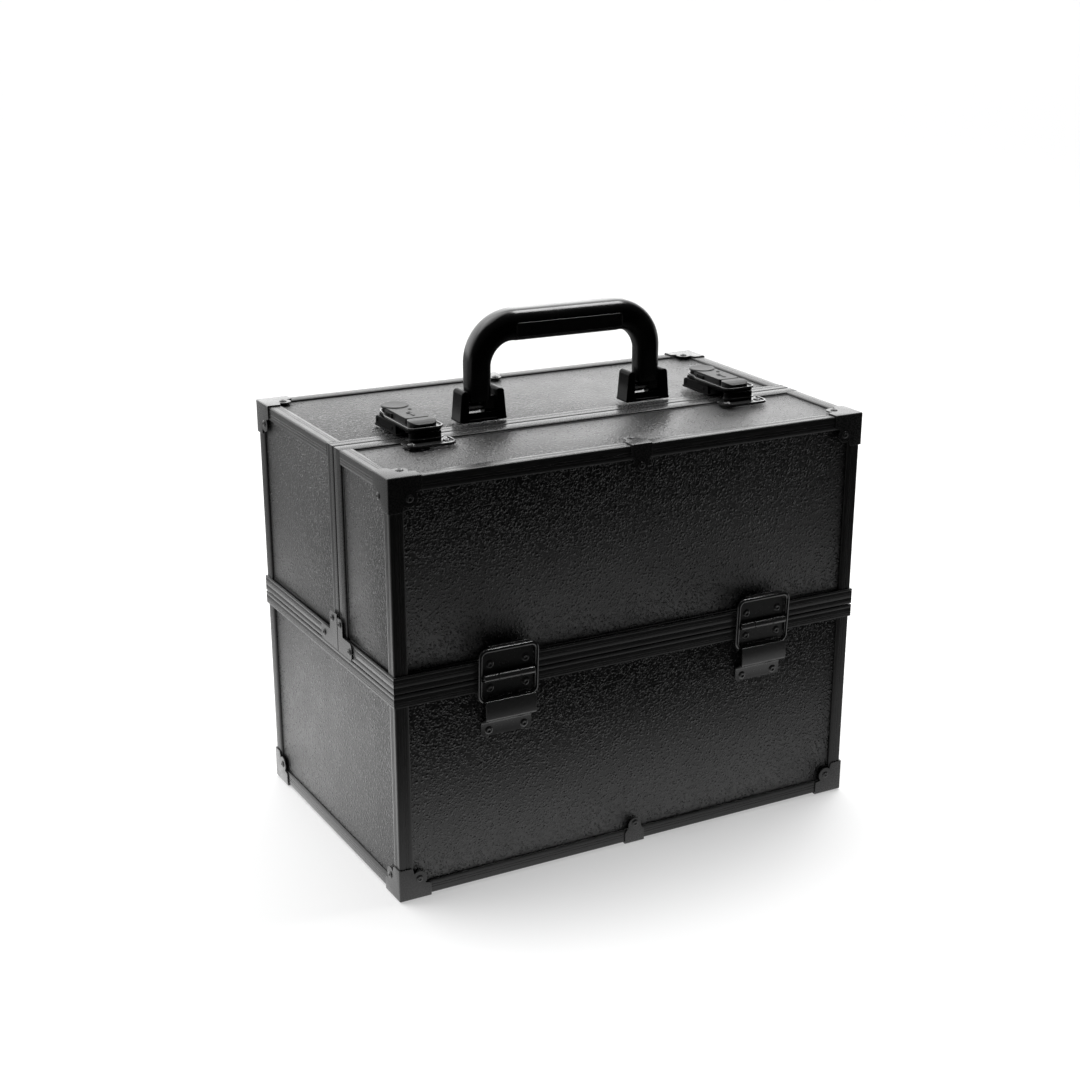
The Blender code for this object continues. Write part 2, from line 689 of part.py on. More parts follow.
def latch_lever():
    y, z = LATCH_PIVOT_Y, LATCH_PIVOT_Z
    lug = (
        [(y + 2.6, LEVER_LOW + 1.0), (y - 2.6, LEVER_LOW + 1.0), (y - 2.6, z)]
        + arc((y, z), 2.6, 195, 345, 6)
        + [(y + 2.6, z)]
    )
    # The underside of the nose slopes up, so that the front lid's edge swings out beneath it
    clear_of_lid = [
        (-NOSE_SLOPE_FROM, LEVER_LOW - 1.0),
        (-NOSE_SLOPE_FROM, LEVER_LOW),
        (-50.0, LEVER_LOW + (50.0 - NOSE_SLOPE_FROM) * NOSE_SLOPE),
        (-50.0, LEVER_LOW - 1.0),
    ]
    body = union(
        prism(lever_outline(0.0, -45.5), "z", LEVER_LOW + 1.0, LEVER_TOP - 0.8),
        prism(lever_outline(1.2, -46.5), "z", LEVER_LOW, LEVER_STEP),
        prism(rounded(-8.0, 8.0, -31.0, 12.0, 4.0, 2), "z", LEVER_STEP, LEVER_TOP),
        prism(lug, "x", -8.0, 8.0),
    )
    return joined(
        body,
        ("DIFFERENCE", rod("x", (y, z), 1.8, -9.0, 9.0, 12)),
        ("DIFFERENCE", prism(clear_of_lid, "x", -20.0, 20.0)),
        ("DIFFERENCE", box(-20.0, 20.0, -34.0, -33.0, LEVER_TOP - 1.4, LEVER_TOP + 5.0)),
        ("DIFFERENCE", rod("z", (0.0, -20.0), 1.6, LEVER_TOP - 3.0, LEVER_TOP + 2.0, 10)),
    )


def latch_case():
    y, z = LATCH_PIVOT_Y, LATCH_PIVOT_Z
    cheek = (
        [(-20.0, MOUNT_Z + 1.0), (y + 2.7, MOUNT_Z + 1.0)]
        + arc((y, z), 2.7, 0, 90, 4)
        + [(-20.0, z + 2.7)]
    )
    return union(
        prism(rounded(-11.5, 11.5, -23.0, y + 4.5, 2.0, 2), "z", MOUNT_Z, MOUNT_Z + 1.2),
        prism(cheek, "x", -10.8, -8.6),
        prism(cheek, "x", 8.6, 10.8),
        rod("x", (y, z), 1.5, -9.5, 9.5, 12),
    )


def strike():
    plate = rounded(-18.0, 18.0, -60.0, -38.0, 7.0, 4)
    under = LEVER_LOW - 0.7
    catch = [
        (-46.0, MOUNT_Z + 0.8),
        (-38.5, MOUNT_Z + 0.8),
        (-38.5, under + (38.5 - NOSE_SLOPE_FROM) * NOSE_SLOPE),
        (-46.0, under + (46.0 - NOSE_SLOPE_FROM) * NOSE_SLOPE),
    ]
    return union(
        prism(plate, "z", MOUNT_Z, MOUNT_Z + 1.0),
        prism(catch, "x", -9.0, 9.0),
        moved(rivet("z", (-11.5, -50.0), MOUNT_Z + 1.0, MOUNT_Z + 1.0 + RIVET_H)),
        moved(rivet("z", (11.5, -50.0), MOUNT_Z + 1.0, MOUNT_Z + 1.0 + RIVET_H)),
    )


for x_side, across in ((-1, "left"), (1, "right")):
    x = LATCH_X * x_side
    piece(f"latch_lever_{across}", moved(latch_lever(), x=x), HARDWARE, (x, LATCH_PIVOT_Y, LATCH_PIVOT_Z))
    piece(f"latch_case_{across}", moved(latch_case(), x=x), HARDWARE)
    piece(f"latch_strike_{across}", moved(strike(), x=x), HARDWARE)

# ---- trays and swing arms ----


def tray(span, heights):
    inner, outer = span
    low, high = heights
    wall = TRAY_WALL

    def section(inset, floor, top):
        """The tray's end view, upright behind and leaning out in front."""
        return [
            (inner + 2.0 + inset, floor),
            (outer - TRAY_DRAFT - inset, floor),
            (outer - inset, top),
            (inner + inset, top),
        ]

    return joined(
        prism(section(0.0, low, high), "x", -TRAY_X, TRAY_X),
        (
            "DIFFERENCE",
            prism(section(wall, low + wall, high + 2.0), "x", wall - TRAY_X, TRAY_X - wall),
        ),
    )


def arm(pivot_u, lean, x_side):
    """A flat strip from its pivot on the base wall up past both trays, with a stud at each pivot."""
    angle = math.radians(lean)
    length = UPPER_RISE / math.cos(angle)
    along = Vector((-math.sin(angle), math.cos(angle)))
    across = Vector((along.y, -along.x))
    start, end = Vector((pivot_u, ARM_PIVOT_Z)), Vector((pivot_u, ARM_PIVOT_Z)) + along * length
    outline = []
    for centre, sign in ((start, -1), (end, 1)):
        for i in range(7):
            turn = math.radians(180 * i / 6)
            outline.append(
                tuple(centre + across * (ARM_HALF * math.cos(turn) * sign) + along * (ARM_HALF * math.sin(turn) * sign))
            )
    shapes = [
        prism(outline, "x", ARM_IN, ARM_OUT),
        rod("x", tuple(start), 2.2, ARM_OUT - 0.5, SHELL_X - WALL - GAP, 10),
    ]
    for rise in (LOWER_RISE, UPPER_RISE):
        spot = start + along * (rise / math.cos(angle))
        shapes.append(rod("x", tuple(spot), 2.2, TRAY_X + GAP, ARM_IN + 0.5, 10))
    return mirrored(union(*shapes), x=x_side)


for y_side, side in ((-1, "front"), (1, "rear")):
    lean = ARM_LEAN[side]
    slope = math.tan(math.radians(lean))
    for level, heights, rise in (("lower", LOWER_TRAY_Z, LOWER_RISE), ("upper", UPPER_TRAY_Z, UPPER_RISE)):
        pivot = (0.0, (ARM_A[side] - rise * slope) * y_side, ARM_PIVOT_Z + rise)
        piece(f"{side}_{level}_tray", mirrored(tray(TRAY_SPAN[side], heights), y=y_side), TRAY, pivot)
    for letter, pivot_u in (("a", ARM_A[side]), ("b", ARM_B)):
        for x_side, across in ((-1, "left"), (1, "right")):
            piece(
                f"{side}_arm_{letter}_{across}",
                mirrored(arm(pivot_u, lean, x_side), y=y_side),
                ARM,
                (ARM_OUT * x_side, pivot_u * y_side, ARM_PIVOT_Z),
            )
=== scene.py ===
"""Looks for the makeup train case: finishes, rolled edge profiles, pressed hardware, hinges, latches and the handle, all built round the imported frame."""
import math

import bmesh
import bpy
from mathutils import Matrix, Vector


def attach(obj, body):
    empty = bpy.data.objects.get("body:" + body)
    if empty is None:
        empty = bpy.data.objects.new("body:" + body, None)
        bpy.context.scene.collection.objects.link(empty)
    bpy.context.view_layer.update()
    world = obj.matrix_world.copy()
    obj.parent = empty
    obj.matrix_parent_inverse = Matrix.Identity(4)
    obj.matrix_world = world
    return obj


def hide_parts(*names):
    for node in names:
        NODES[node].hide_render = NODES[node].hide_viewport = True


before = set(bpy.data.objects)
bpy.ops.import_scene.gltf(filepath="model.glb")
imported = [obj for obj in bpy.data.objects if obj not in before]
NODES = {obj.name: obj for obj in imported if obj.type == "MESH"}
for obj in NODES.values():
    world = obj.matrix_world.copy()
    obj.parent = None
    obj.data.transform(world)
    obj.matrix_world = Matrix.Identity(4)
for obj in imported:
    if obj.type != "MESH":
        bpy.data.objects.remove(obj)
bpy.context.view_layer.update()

MM = 0.001

# The case's own figures, in millimetres
HX, HY, HEIGHT = 180.0, 113.0, 290.0
SPLIT_Y, PARTING_Z = -25.0, 148.0
LIFT = 0.72  # how deep under the envelope the ridges of a profile reach
MOUNT_Z = 289.3

# ---- shapes, each a closed bmesh in millimetres ----


def in_place(axis):
    columns = {
        "x": ((0, 0, 1), (1, 0, 0), (0, 1, 0)),
        "y": ((1, 0, 0), (0, 0, 1), (0, 1, 0)),
        "z": ((1, 0, 0), (0, 1, 0), (0, 0, 1)),
    }[axis]
    return Matrix(columns).to_4x4()


def closed(bm):
    bmesh.ops.recalc_face_normals(bm, faces=bm.faces)
    return bm


def prism(points, axis, low, high):
    """A flat outline in the two other axes, in X, Y, Z order, pulled along this one."""
    bm = bmesh.new()
    flat = bm.faces.new([bm.verts.new((a, b, low)) for a, b in points])
    pulled = bmesh.ops.extrude_face_region(bm, geom=[flat])
    top = [v for v in pulled["geom"] if isinstance(v, bmesh.types.BMVert)]
    bmesh.ops.translate(bm, verts=top, vec=(0.0, 0.0, high - low))
    bmesh.ops.transform(bm, matrix=in_place(axis), verts=bm.verts)
    return closed(bm)


def arc(centre, radius, start, stop, steps):
    angles = [math.radians(start + (stop - start) * i / steps) for i in range(steps + 1)]
    return [(centre[0] + radius * math.cos(a), centre[1] + radius * math.sin(a)) for a in angles]


def rounded(x0, x1, z0, z1, radius, steps=6):
    points = []
    for cx, cz, start in (
        (x1 - radius, z1 - radius, 0),
        (x0 + radius, z1 - radius, 90),
        (x0 + radius, z0 + radius, 180),
        (x1 - radius, z0 + radius, 270),
    ):
        points += arc((cx, cz), radius, start, start + 90, steps)
    return points


def turned(profile, axis, centre, base=0.0, sign=1, steps=24):
    """A turned shape from (radius, height) pairs, standing on the plane at base and pointing along sign times the axis."""
    bm = bmesh.new()
    rings = []
    for radius, height in profile:
        if radius < 1e-6:
            rings.append([bm.verts.new((0.0, 0.0, height))])
            continue
        angles = [2 * math.pi * i / steps for i in range(steps)]
        rings.append([bm.verts.new((radius * math.cos(a), radius * math.sin(a), height)) for a in angles])
    for near, far in zip(rings, rings[1:]):
        for i in range(steps):
            j = (i + 1) % steps
            if len(near) == 1:
                bm.faces.new((near[0], far[j], far[i]))
            elif len(far) == 1:
                bm.faces.new((near[i], near[j], far[0]))
            else:
                bm.faces.new((near[i], near[j], far[j], far[i]))
    for ring in (rings[0], rings[-1]):
        if len(ring) > 1:
            bm.faces.new(ring)
    bmesh.ops.scale(bm, vec=(1, 1, sign), verts=bm.verts)
    bmesh.ops.translate(bm, vec=(*centre, base), verts=bm.verts)
    bmesh.ops.transform(bm, matrix=in_place(axis), verts=bm.verts)
    return closed(bm)


def rod(axis, centre, radius, low, high, edge=0.3, steps=32):
    """A round bar with broken edges."""
    length = high - low
    return turned(
        [(0, 0), (radius - edge, 0), (radius, edge), (radius, length - edge), (radius - edge, length), (0, length)],
        axis, centre, low, 1, steps,
    )


def rivet(axis, centre, face, sign=1, radius=2.6, height=0.8):
    """A domed tubular rivet with a dished middle."""
    r, h = radius, height
    profile = [(0, -0.3), (r * 1.02, -0.3), (r * 1.02, 0.08 * h), (r * 0.96, 0.38 * h), (r * 0.84, 0.7 * h)]
    profile += [(r * 0.66, 0.93 * h), (r * 0.52, h), (r * 0.42, 0.94 * h), (r * 0.33, 0.6 * h), (r * 0.2, 0.42 * h), (0, 0.38 * h)]
    return turned(profile, axis, centre, face, sign, 20)


def skin(lines, ring=False):
    """Lines of points that run side by side, skinned into a closed bar, or a closed ring."""
    bm = bmesh.new()
    rows = [[bm.verts.new(p) for p in line] for line in lines]
    count = len(rows[0])
    for near, far in zip(rows, rows[1:] + rows[:1]):
        for i in range(count if ring else count - 1):
            j = (i + 1) % count
            bm.faces.new((near[i], near[j], far[j], far[i]))
    if not ring:
        bm.faces.new([row[0] for row in rows])
        bm.faces.new([row[-1] for row in rows])
    return closed(bm)


def merged(*shapes):
    """One mesh of several closed shapes."""
    mesh = bpy.data.meshes.new("join")
    whole = bmesh.new()
    for shape in shapes:
        shape.to_mesh(mesh)
        shape.free()
        whole.from_mesh(mesh)
    bpy.data.meshes.remove(mesh)
    return whole


def joined(base, *steps):
    """The base after each (operation, shape) Boolean in turn."""
    def helper(bm):
        mesh = bpy.data.meshes.new("helper")
        bm.to_mesh(mesh)
        bm.free()
        made = bpy.data.objects.new("helper", mesh)
        bpy.context.scene.collection.objects.link(made)
        return made

    body = helper(base)
    tools = []
    for operation, shape in steps:
        tool = helper(shape)
        tools.append(tool)
        boolean = body.modifiers.new(operation.lower(), "BOOLEAN")
        boolean.operation = operation
        boolean.solver = "EXACT"
        boolean.object = tool
    bpy.context.view_layer.update()
    graph = bpy.context.evaluated_depsgraph_get()
    mesh = bpy.data.meshes.new_from_object(body.evaluated_get(graph))
    result = bmesh.new()
    result.from_mesh(mesh)
    bpy.data.meshes.remove(mesh)
    bmesh.ops.remove_doubles(result, verts=result.verts, dist=1e-4)
    bmesh.ops.dissolve_limit(result, angle_limit=math.radians(0.5), verts=result.verts, edges=result.edges)
    for made in [body, *tools]:
        bpy.data.objects.remove(made, do_unlink=True)
    return result


def union(*shapes):
    return joined(shapes[0], *[("UNION", shape) for shape in shapes[1:]])


def moved(bm, x=0.0, y=0.0, z=0.0):
    bmesh.ops.translate(bm, verts=bm.verts, vec=Vector((x, y, z)))
    return bm


def mirrored(bm, x=1, y=1, z=1):
    bmesh.ops.scale(bm, verts=bm.verts, vec=Vector((x, y, z)))
    if x * y * z < 0:
        bmesh.ops.reverse_faces(bm, faces=bm.faces)
    return bm


def softened(bm, width, wanted, segments=3):
    """Rounds the edges that the test picks by their two ends."""
    edges = [e for e in bm.edges if wanted(e.verts[0].co, e.verts[1].co)]
    bmesh.ops.bevel(bm, geom=edges, offset=width, segments=segments, profile=0.5, affect="EDGES", clamp_overlap=True)
    return bm


def piece(name, bm, look, body, stands_for=(), bevel=0.25, segments=2, angle=35.0):
    """A visible piece in metres that rides on its body."""
    closed(bm)
    mesh = bpy.data.meshes.new(name)
    bm.to_mesh(mesh)
    bm.free()
    mesh.transform(Matrix.Scale(MM, 4))
    mesh.materials.append(look)
    made = bpy.data.objects.new(name, mesh)
    bpy.context.scene.collection.objects.link(made)
    finish_edges(made, bevel, segments, angle)
    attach(made, body)
    if stands_for:
        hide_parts(*stands_for)
    return made


def finish_edges(obj, bevel, segments=2, angle=35.0):
    for polygon in obj.data.polygons:
        polygon.use_smooth = True
    if bevel:
        rounder = obj.modifiers.new("edges", "BEVEL")
        rounder.width = bevel * MM
        rounder.segments = segments
        rounder.limit_method = "ANGLE"
        rounder.angle_limit = math.radians(angle)
        rounder.harden_normals = True
        rounder.miter_outer = "MITER_ARC"
        rounder.use_clamp_overlap = True


# ---- finishes ----


class Look:
    """A material and short ways to add nodes to it."""

    def __init__(self, name, **sockets):
        self.material = bpy.data.materials.new(name)
        self.material.use_nodes = True
        self.tree = self.material.node_tree
        self.shader = self.tree.nodes["Principled BSDF"]
        for socket, value in sockets.items():
            self.shader.inputs[socket.replace("_", " ")].default_value = value
        place = self.add("ShaderNodeTexCoord")
        self.spot = place.outputs["Object"]

    def add(self, kind, settings=None, **sockets):
        made = self.tree.nodes.new(kind)
        for key, value in (settings or {}).items():
            setattr(made, key, value)
        for key, value in sockets.items():
            socket = made.inputs[int(key[1:])] if key[0] == "i" and key[1:].isdigit() else made.inputs[key.replace("_", " ")]
            if isinstance(value, bpy.types.NodeSocket):
                self.tree.links.new(value, socket)
            else:
                socket.default_value = value
        return made

    def stretched(self, x, y, z):
        return self.add("ShaderNodeVectorMath", {"operation": "MULTIPLY"}, i0=self.spot, i1=(x, y, z)).outputs[0]

    def noise(self, scale, detail=2.0, rough=0.5, spot=None):
        made = self.add("ShaderNodeTexNoise", Vector=spot or self.spot, Scale=scale, Detail=detail, Roughness=rough)
        return made.outputs["Fac"]

    def cells(self, scale, feature="F1", spot=None):
        made = self.add("ShaderNodeTexVoronoi", {"feature": feature}, Vector=spot or self.spot, Scale=scale)
        return made.outputs["Distance"]

    def remap(self, value, a, b, c, d, smooth=False):
        made = self.add(
            "ShaderNodeMapRange", {"interpolation_type": "SMOOTHSTEP" if smooth else "LINEAR"},
            Value=value, From_Min=a, From_Max=b, To_Min=c, To_Max=d,
        )
        return made.outputs["Result"]

    def math(self, operation, a, b=0.0):
        return self.add("ShaderNodeMath", {"operation": operation}, i0=a, i1=b).outputs[0]

    def blend(self, factor, first, second):
        made = self.add("ShaderNodeMix", {"data_type": "RGBA"}, Factor=factor)
        for socket, value in ((made.inputs[6], first), (made.inputs[7], second)):
            if isinstance(value, bpy.types.NodeSocket):
                self.tree.links.new(value, socket)
            else:
                socket.default_value = (*value, 1.0)
        return made.outputs[2]

    def bump(self, height, strength, distance, under=None):
        made = self.add("ShaderNodeBump", Height=height, Strength=strength, Distance=distance)
        if under is not None:
            self.tree.links.new(under, made.inputs["Normal"])
        return made.outputs["Normal"]

    def worn(self, low=0.52, high=0.62):
        """How far a spot is on an outward edge."""
        edge = self.add("ShaderNodeNewGeometry").outputs["Pointiness"]
        return self.remap(edge, low, high, 0.0, 1.0, True)

    def use(self, **sockets):
        for socket, value in sockets.items():
            self.tree.links.new(value, self.shader.inputs[socket.replace("_", " ")])
        return self.material


def lined_laminate():
    """The laminate outside, and a dark lining cloth on the faces inside the shell, told apart by their place."""
    look = Look("laminate_with_lining", Metallic=0.0, IOR=1.5, Specular_IOR_Level=0.46, Sheen_Weight=0.0)
    wander = look.add("ShaderNodeTexNoise", Vector=look.spot, Scale=380.0, Detail=2.0).outputs["Color"]
    bent = look.add("ShaderNodeVectorMath", {"operation": "MULTIPLY_ADD"}, i0=wander, i1=(0.0014,) * 3, i2=look.spot).outputs[0]
    pebble = look.remap(look.cells(430.0, spot=bent), 0.08, 0.52, 1.0, 0.0, True)
    small = look.remap(look.cells(820.0, spot=bent), 0.08, 0.52, 1.0, 0.0, True)
    fine = look.noise(3200.0, 2.0)
    broad = look.noise(34.0, 3.0)
    height = look.math("ADD", look.math("MULTIPLY", pebble, 0.55), look.math("MULTIPLY", small, 0.4))
    height = look.math("ADD", height, look.math("MULTIPLY", fine, 0.12))
    shade = look.math("MULTIPLY", look.math("POWER", height, 2.6), look.remap(broad, 0.3, 0.7, 0.75, 1.0))
    grain = look.blend(shade, (0.0004, 0.0004, 0.0004), (0.022, 0.022, 0.0225))
    grain_rough = look.math("ADD", look.remap(height, 0.15, 0.95, 0.38, 0.14), look.remap(broad, 0.3, 0.7, -0.03, 0.04))
    # cloth: short crossed threads with a brushed pile
    across = look.add("ShaderNodeTexWave", {"bands_direction": "DIAGONAL"}, Vector=look.spot, Scale=900.0, Distortion=2.0, Detail=2.0).outputs["Fac"]
    pile = look.noise(1500.0, 4.0, 0.6)
    weave = look.math("ADD", look.math("MULTIPLY", across, 0.45), look.math("MULTIPLY", pile, 0.55))
    cloth = look.blend(look.math("MULTIPLY", weave, look.remap(broad, 0.3, 0.7, 0.6, 1.0)), (0.006, 0.006, 0.007), (0.03, 0.03, 0.032))
    place = look.add("ShaderNodeSeparateXYZ", i0=look.spot)
    x, y, z = place.outputs
    out = look.math("GREATER_THAN", look.math("ABSOLUTE", x), 0.1768)
    out = look.math("MAXIMUM", out, look.math("GREATER_THAN", look.math("ABSOLUTE", y), 0.1098))
    out = look.math("MAXIMUM", out, look.math("GREATER_THAN", z, 0.2868))
    out = look.math("MAXIMUM", out, look.math("LESS_THAN", z, 0.0032))
    inside = look.math("SUBTRACT", 1.0, out)
    colour = look.blend(inside, grain, cloth)
    rough = look.math("MAXIMUM", grain_rough, look.math("MULTIPLY", inside, 0.85))
    relief = look.add("ShaderNodeMix", {"data_type": "FLOAT"}, Factor=inside)
    look.tree.links.new(height, relief.inputs[2])
    look.tree.links.new(weave, relief.inputs[3])
    return look.use(Base_Color=colour, Roughness=rough, Normal=look.bump(relief.outputs[0], 1.0, 0.0006))


def satin_black(name, dark, light, rough, metallic, drawn=(1.0, 1.0, 1.0), speckle=0.12, shine=0.5):
    """Black lacquered metal: a fine orange peel, drawing marks along the length and a little polish on the edges."""
    look = Look(name, Metallic=metallic, IOR=1.5, Specular_IOR_Level=shine)
    drag = look.noise(900.0, 3.0, spot=look.stretched(*drawn))
    peel = look.noise(1900.0, 2.0)
    broad = look.noise(26.0, 2.0)
    worn = look.worn()
    shade = look.math("ADD", look.math("MULTIPLY", drag, 0.6), look.math("MULTIPLY", broad, 0.4))
    colour = look.blend(shade, (dark,) * 3, (light,) * 3)
    colour = look.blend(look.math("MULTIPLY", worn, 0.5), colour, (light * 2.2,) * 3)
    roughness = look.math("ADD", look.remap(drag, 0.25, 0.75, rough - 0.06, rough + 0.08), look.math("MULTIPLY", worn, -0.06))
    relief = look.math("ADD", look.math("MULTIPLY", peel, 0.6), look.math("MULTIPLY", drag, 0.4))
    return look.use(Base_Color=colour, Roughness=roughness, Normal=look.bump(relief, speckle, 0.00012))


def gloss_plastic(name, shine):
    look = Look(name, Metallic=0.0, IOR=1.5, Specular_IOR_Level=shine)
    peel = look.noise(260.0, 2.0)
    dust = look.remap(look.noise(2600.0, 2.0), 0.58, 0.75, 0.0, 1.0, True)
    smear = look.noise(45.0, 3.0)
    colour = look.blend(look.math("MULTIPLY", dust, 0.5), (0.0035, 0.0035, 0.0036), (0.012, 0.012, 0.0125))
    rough = look.math("ADD", look.remap(smear, 0.3, 0.7, 0.16, 0.26), look.math("MULTIPLY", dust, 0.1))
    return look.use(Base_Color=colour, Roughness=rough, Normal=look.bump(peel, 0.05, 0.0004))


def matt_plastic(name, dark, light, rough):
    look = Look(name, Metallic=0.0, IOR=1.47, Specular_IOR_Level=0.5)
    spark = look.cells(1700.0)
    fine = look.noise(3200.0, 2.0)
    broad = look.noise(30.0, 3.0)
    height = look.math("ADD", look.math("MULTIPLY", spark, 0.6), look.math("MULTIPLY", fine, 0.4))
    colour = look.blend(look.math("MULTIPLY", height, broad), (dark,) * 3, (light,) * 3)
    return look.use(Base_Color=colour, Roughness=look.remap(broad, 0.3, 0.7, rough - 0.05, rough + 0.07), Normal=look.bump(height, 0.3, 0.0001))


def bright_steel(name, level, rough, drawn=(1.0, 1.0, 1.0)):
    look = Look(name, Metallic=1.0)
    drag = look.noise(1200.0, 3.0, spot=look.stretched(*drawn))
    broad = look.noise(40.0, 2.0)
    colour = look.blend(look.math("MULTIPLY", drag, broad), (level * 0.75,) * 3, (level,) * 3)
    return look.use(Base_Color=colour, Roughness=look.remap(drag, 0.3, 0.7, rough - 0.05, rough + 0.1), Normal=look.bump(drag, 0.12, 0.0001))


SHELL = lined_laminate()
EDGE_X = satin_black("edge_profile_x", 0.008, 0.018, 0.32, 0.05, (0.06, 1.0, 1.0), shine=0.2)
EDGE_Y = satin_black("edge_profile_y", 0.008, 0.018, 0.32, 0.05, (1.0, 0.06, 1.0), shine=0.2)
EDGE_Z = satin_black("edge_profile_z", 0.008, 0.018, 0.32, 0.05, (1.0, 1.0, 0.06), shine=0.2)
PRESSED = satin_black("pressed_hardware", 0.014, 0.03, 0.28, 0.2, shine=0.3)
HINGE = satin_black("hinge_hardware", 0.022, 0.038, 0.22, 0.0, speckle=0.05, shine=0.55)
LATCH = satin_black("latch_lacquer", 0.010, 0.022, 0.4, 0.0, shine=0.16)
# painted highlight: a lighter, shinier copy of the latch lacquer for the lever's lip and the catch plate, standing in
# for the bright line along their edges
LATCH_LIT = satin_black("latch_painted_highlight", 0.016, 0.03, 0.2, 0.2, shine=0.5)
# painted shade: a darker, duller copy of the latch lacquer for the lever's skirt, the housing and the catch block,
# standing in for the shade on their sides
LATCH_SHADED = satin_black("latch_painted_shade", 0.002, 0.006, 0.5, 0.0, shine=0.03)
DISC = satin_black("latch_disc", 0.012, 0.02, 0.45, 0.0, speckle=0.05, shine=0.2)
WIRE = satin_black("stay_wire", 0.010, 0.018, 0.14, 0.0, speckle=0.03, shine=0.75)
BAND = satin_black("edge_profile_band", 0.008, 0.018, 0.32, 0.05, shine=0.2)
GLOSS = gloss_plastic("gloss_black_plastic", 0.3)
FOOT = gloss_plastic("foot_black_plastic", 0.03)
PANEL = matt_plastic("handle_panel", 0.006, 0.016, 0.3)
# painted shadow: a near-black matt finish for strips that stand in for the shade in the gaps along the profiles
PAINTED_SHADOW = matt_plastic("painted_shadow_strip", 0.0008, 0.002, 0.8)
TRAY = matt_plastic("tray_plastic", 0.008, 0.022, 0.42)
STEEL = bright_steel("bright_steel", 0.82, 0.24, (0.1, 1.0, 1.0))
ARM = bright_steel("swing_arm_steel", 0.5, 0.32)

# ---- panels, trays and arms keep their shape and get their finish ----

for name, node in NODES.items():
    look = SHELL if name.endswith("_shell") else TRAY if name.endswith("_tray") else ARM if "_arm_" in name else HINGE
    node.data.materials.clear()
    node.data.materials.append(look)
    if look in (TRAY, ARM, SHELL):
        weld = node.modifiers.new("weld", "WELD")
        weld.merge_threshold = 1e-5
        finish_edges(node, {TRAY: 0.55, ARM: 0.3, SHELL: 0.4}[look], 3 if look is TRAY else 2)

# ---- rolled edge profiles ----

# One leg from the corner of the envelope to its lip: the distance along the face, and how deep under the envelope
LEG = [
    (2.5, 1.0), (5.5, 1.0), (5.65, 1.16), (5.85, 1.16), (6.0, 0.98), (7.3, 0.98), (7.45, 1.16),
    (7.65, 1.16), (7.8, 1.0), (9.6, 1.0), (10.6, 1.45), (11.0, 2.2),
]
DEEP = 2.38


def angle_section():
    """The L section as (a, b), each a distance from one face of the envelope."""
    first = [(s, t) for s, t in LEG]  # a along, b deep
    second = [(t, s) for s, t in LEG]
    turn = [(1.0 + 1.3 * (1 - math.cos(a)), 1.0 + 1.3 * (1 - math.sin(a))) for a in [math.radians(90 * i / 5) for i in range(6)]]
    return first[::-1] + turn[::-1] + second + [(DEEP, 11.0), (DEEP, DEEP), (11.0, DEEP)]


def clean(points):
    kept = []
    for p in points:
        if not kept or math.dist(p, kept[-1]) > 0.02:
            kept.append(p)
    return kept


ANGLE = clean(angle_section())


def edge_x(y_side, top, half):
    """An edge profile along X."""
    lines = [
        [(x, y_side * (HY - a), HEIGHT - b if top else b) for x in (-half, half)] for a, b in ANGLE
    ]
    return skin(lines)


def edge_y(x_side, top, y0, y1):
    return skin([[(x_side * (HX - a), y, HEIGHT - b if top else b) for y in (y0, y1)] for a, b in ANGLE])


def edge_z(x_side, y_side, z0, z1):
    return skin([[(x_side * (HX - a), y_side * (HY - b), z) for z in (z0, z1)] for a, b in ANGLE])


def corners(inset):
    return [(-HX + inset, -HY + inset), (HX - inset, -HY + inset), (HX - inset, HY - inset), (-HX + inset, HY - inset)]


def lined(low, high, lines):
    """The outer face of a rim from low to high: a flat band with a fine groove at each of these heights, as (inset, z)."""
    points = [(0.5, low), (0.12, low + 0.12), (0.0, low + 0.4)]
    for z, wide, deep in lines:
        points += [(0.0, z - wide), (deep, z - 0.35 * wide), (deep, z + 0.35 * wide), (0.0, z + wide)]
    return points + [(0.0, high - 0.4), (0.12, high - 0.12), (0.5, high)]


BASE_RIM = [(1.2, 138.5)] + lined(138.5, 147.7, [(140.3, 0.22, 0.12), (141.9, 0.22, 0.12), (144.9, 0.22, 0.1)]) + [(6.1, 147.7), (6.1, 149.0), (7.1, 149.0), (7.1, 146.7), (1.2, 146.7)]
LID_RIM = [(5.5, 148.3)] + lined(148.3, 159.6, [(152.6, 0.22, 0.1), (155.4, 0.22, 0.12), (157.9, 0.22, 0.1)]) + [(1.2, 159.6), (1.2, 149.3), (5.5, 149.3)]


def base_rim():
    return skin([[(x, y, z) for x, y in corners(inset)] for inset, z in BASE_RIM], True)


def lid_rim(split):
    """A U along both sides and the front, for a lid that opens towards +Y."""
    lines = []
    for inset, z in LID_RIM:
        x, y = HX - inset, HY - inset
        lines.append([(-x, split, z), (-x, y, z), (x, y, z), (x, split, z)])
    return skin(lines)


def split_band(split, low):
    """The profile round a lid's open edge: up one side, across the top and down the other, mitred at the corners."""
    outer = [(t, s) for s, t in LEG]
    section = clean(outer[::-1] + [(1.0, 1.0), (1.12, 0.4), (1.5, 0.05)] + [(7.4, 0.05), (7.4, 1.2), (DEEP, 1.2), (DEEP, 11.0)])
    lines = []
    for inset, along in section:
        x, z, y = HX - inset, HEIGHT - inset, split + along
        lines.append([(-x, y, low), (-x, y, z), (x, y, z), (x, y, low)])
    return skin(lines)


